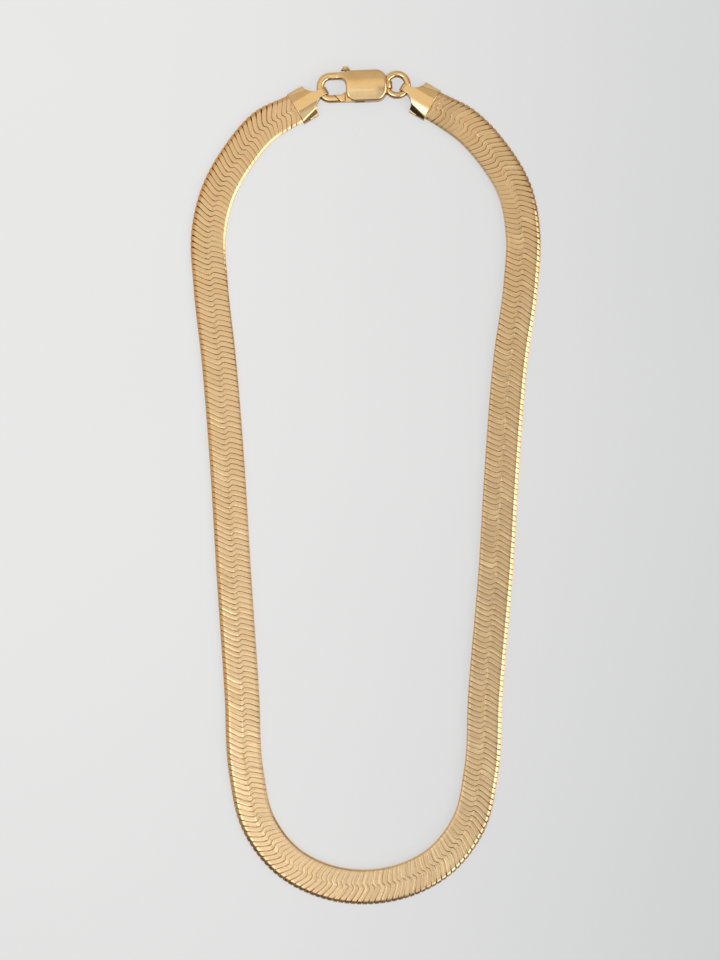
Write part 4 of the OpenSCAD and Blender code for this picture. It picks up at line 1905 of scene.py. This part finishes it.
@dataclass(frozen=True)
class Studio:
    """The pale surface, the soft light round it and the camera above it.

    Lengths are metres, but for the camera's sensor, which is millimetres.
    """

    floor_size: float = 3.0
    camera_height: float = 0.37
    focus_height: float = 0.0013
    camera_at: tuple[float, float] = (-0.00135, 0.00141)
    frame_height: float = 0.2285
    sensor_width: float = 36.0
    base: float = 0.565
    horizon: float = 0.2
    base_range: Range = (0.25, 0.7)
    near: Colour = (1.0, 1.0, 1.0)
    far: Colour = (1.06, 0.94, 0.77)
    tint_range: Range = (-0.12, 0.3)
    plain: Colour = (0.78, 0.78, 0.79)
    left_side: Lobe = Lobe(azimuth=150, elevation=0, inner=45, outer=76, radiance=0.9)
    lobes: tuple[Lobe, ...] = (
        Lobe(azimuth=180, elevation=60, inner=0, outer=40, radiance=0.23),
        Lobe(azimuth=93, elevation=76, inner=6, outer=20, radiance=0.22),
        Lobe(azimuth=-110, elevation=87.5, inner=0, outer=5.5, radiance=0.32),
        Lobe(azimuth=-95, elevation=82, inner=2, outer=10, radiance=0.16),
        Lobe(azimuth=-2, elevation=79, inner=3, outer=12, radiance=-0.27),
        Lobe(azimuth=-123, elevation=66, inner=5, outer=18, radiance=0.4),
        Lobe(azimuth=-131, elevation=64, inner=5, outer=11, radiance=2.3),
        Lobe(azimuth=-90, elevation=55, inner=4, outer=15, radiance=0.24),
        Lobe(azimuth=-50, elevation=60, inner=4, outer=15, radiance=0.15),
        Lobe(azimuth=-90, elevation=3, inner=48, outer=70, radiance=-0.1),
        Lobe(azimuth=-8, elevation=30, inner=14, outer=29, radiance=1.9),
        Lobe(azimuth=-52, elevation=29, inner=8, outer=19, radiance=2.4),
        Lobe(azimuth=62, elevation=0, inner=15, outer=42, radiance=0.28),
    )

    def build(self) -> None:
        """Make the surface, the light and the camera."""
        self.lay_floor()
        self.light()
        self.place_camera()

    def lay_floor(self) -> None:
        """Lay the pale surface under the necklace."""
        half = self.floor_size / 2
        mesh = bpy.data.meshes.new("pale_surface")
        corners = [(-half, -half, 0), (half, -half, 0), (half, half, 0), (-half, half, 0)]
        mesh.from_pydata(corners, [], [(0, 1, 2, 3)])
        mesh.materials.append(PaperFinish().build())
        link_object("pale_surface", mesh)

    def light(self) -> None:
        """Light the scene from a plain sky with soft bright patches, unseen by the camera."""
        world = bpy.data.worlds.new("studio")
        bpy.context.scene.world = world
        world.use_nodes = True
        tree = Tree(world.node_tree)
        ray = tree.add("ShaderNodeTexCoord", {}, {}).outputs["Generated"]
        _, y, height = tree.parts(ray)
        tint = tree.mix(y.eased(*self.tint_range), self.near, self.far)
        low = self.horizon + self.patch(tree, ray, self.left_side)
        total = self.base * (low + (1.0 - low) * height.eased(*self.base_range))
        for lobe in self.lobes:
            total = total + self.patch(tree, ray, lobe)
        seen = tree.add("ShaderNodeLightPath", {}, {}).outputs["Is Camera Ray"]
        ends = {1: tree.glow(tint, total), 2: tree.glow((*self.plain, 1.0), 1.0)}
        shown = tree.add("ShaderNodeMixShader", {}, {0: seen, **ends})
        tree.add("ShaderNodeOutputWorld", {}, {"Surface": shown.outputs[0]})

    def patch(self, tree: Tree, ray: Socket, lobe: Lobe) -> Value:
        """Return the light of one patch of the sky, by the ray's direction.

        Args:
            tree: The sky's node tree.
            ray: Direction of the ray.
            lobe: The patch.

        Returns:
            The patch's light.
        """
        facing = Value(tree, tree.vectors("DOT_PRODUCT", ray, lobe.direction)["Value"])
        low, high = (math.cos(math.radians(angle)) for angle in (lobe.outer, lobe.inner))
        return facing.eased(low, high) * lobe.radiance

    def place_camera(self) -> None:
        """Hang the camera straight above, its picture's top towards the clasp."""
        data = bpy.data.cameras.new("overhead")
        data.sensor_width = self.sensor_width
        data.lens = data.sensor_width * self.camera_height / self.frame_height
        data.clip_start = 0.01
        camera = link_object("overhead", data)
        camera.location = (*self.camera_at, self.camera_height + self.focus_height)
        bpy.context.scene.camera = camera
        bpy.context.scene.view_settings.view_transform = "Standard"


def main() -> None:
    """Build the necklace piece by piece, then its setting."""
    logging.basicConfig(level=logging.INFO, format="%(name)s %(message)s")
    cap = EndCap()
    ring = JumpRing()
    clasp = LobsterClasp()

    route = Route(cap.length, cap.grip)
    HerringboneBand().build(route, LinkFinish("link_gold").build())

    for side, held, bar, slope, roughness in (
        (CapSide.LEFT, clasp.bar_width, clasp.hook, LAYOUT.cap_slope, 0.14),
        (CapSide.RIGHT, ring.wire, ring.torus, -LAYOUT.cap_slope, 0.1),
    ):
        borer = bar(f"{side.value}_bore", LAYOUT.eye_gap)
        finish = GoldFinish(f"cap_gold_{side.value}", roughness=roughness, brush_angle=slope)
        cap.build(side, held, borer, finish.build())

    wire_gold = GoldFinish("wire_gold", roughness=0.07, brush_depth=0.001).build()
    ring.build(wire_gold)
    clasp_gold = GoldFinish("clasp_gold", brush_angle=LAYOUT.clasp_tilt).build()
    clasp.build_body(ring, clasp_gold)
    clasp.build_lever(clasp_gold)

    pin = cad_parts["clasp_pin"]
    pin.data.materials.clear()
    pin.data.materials.append(wire_gold)

    Studio().build()


if __name__ == "__main__":
    main()
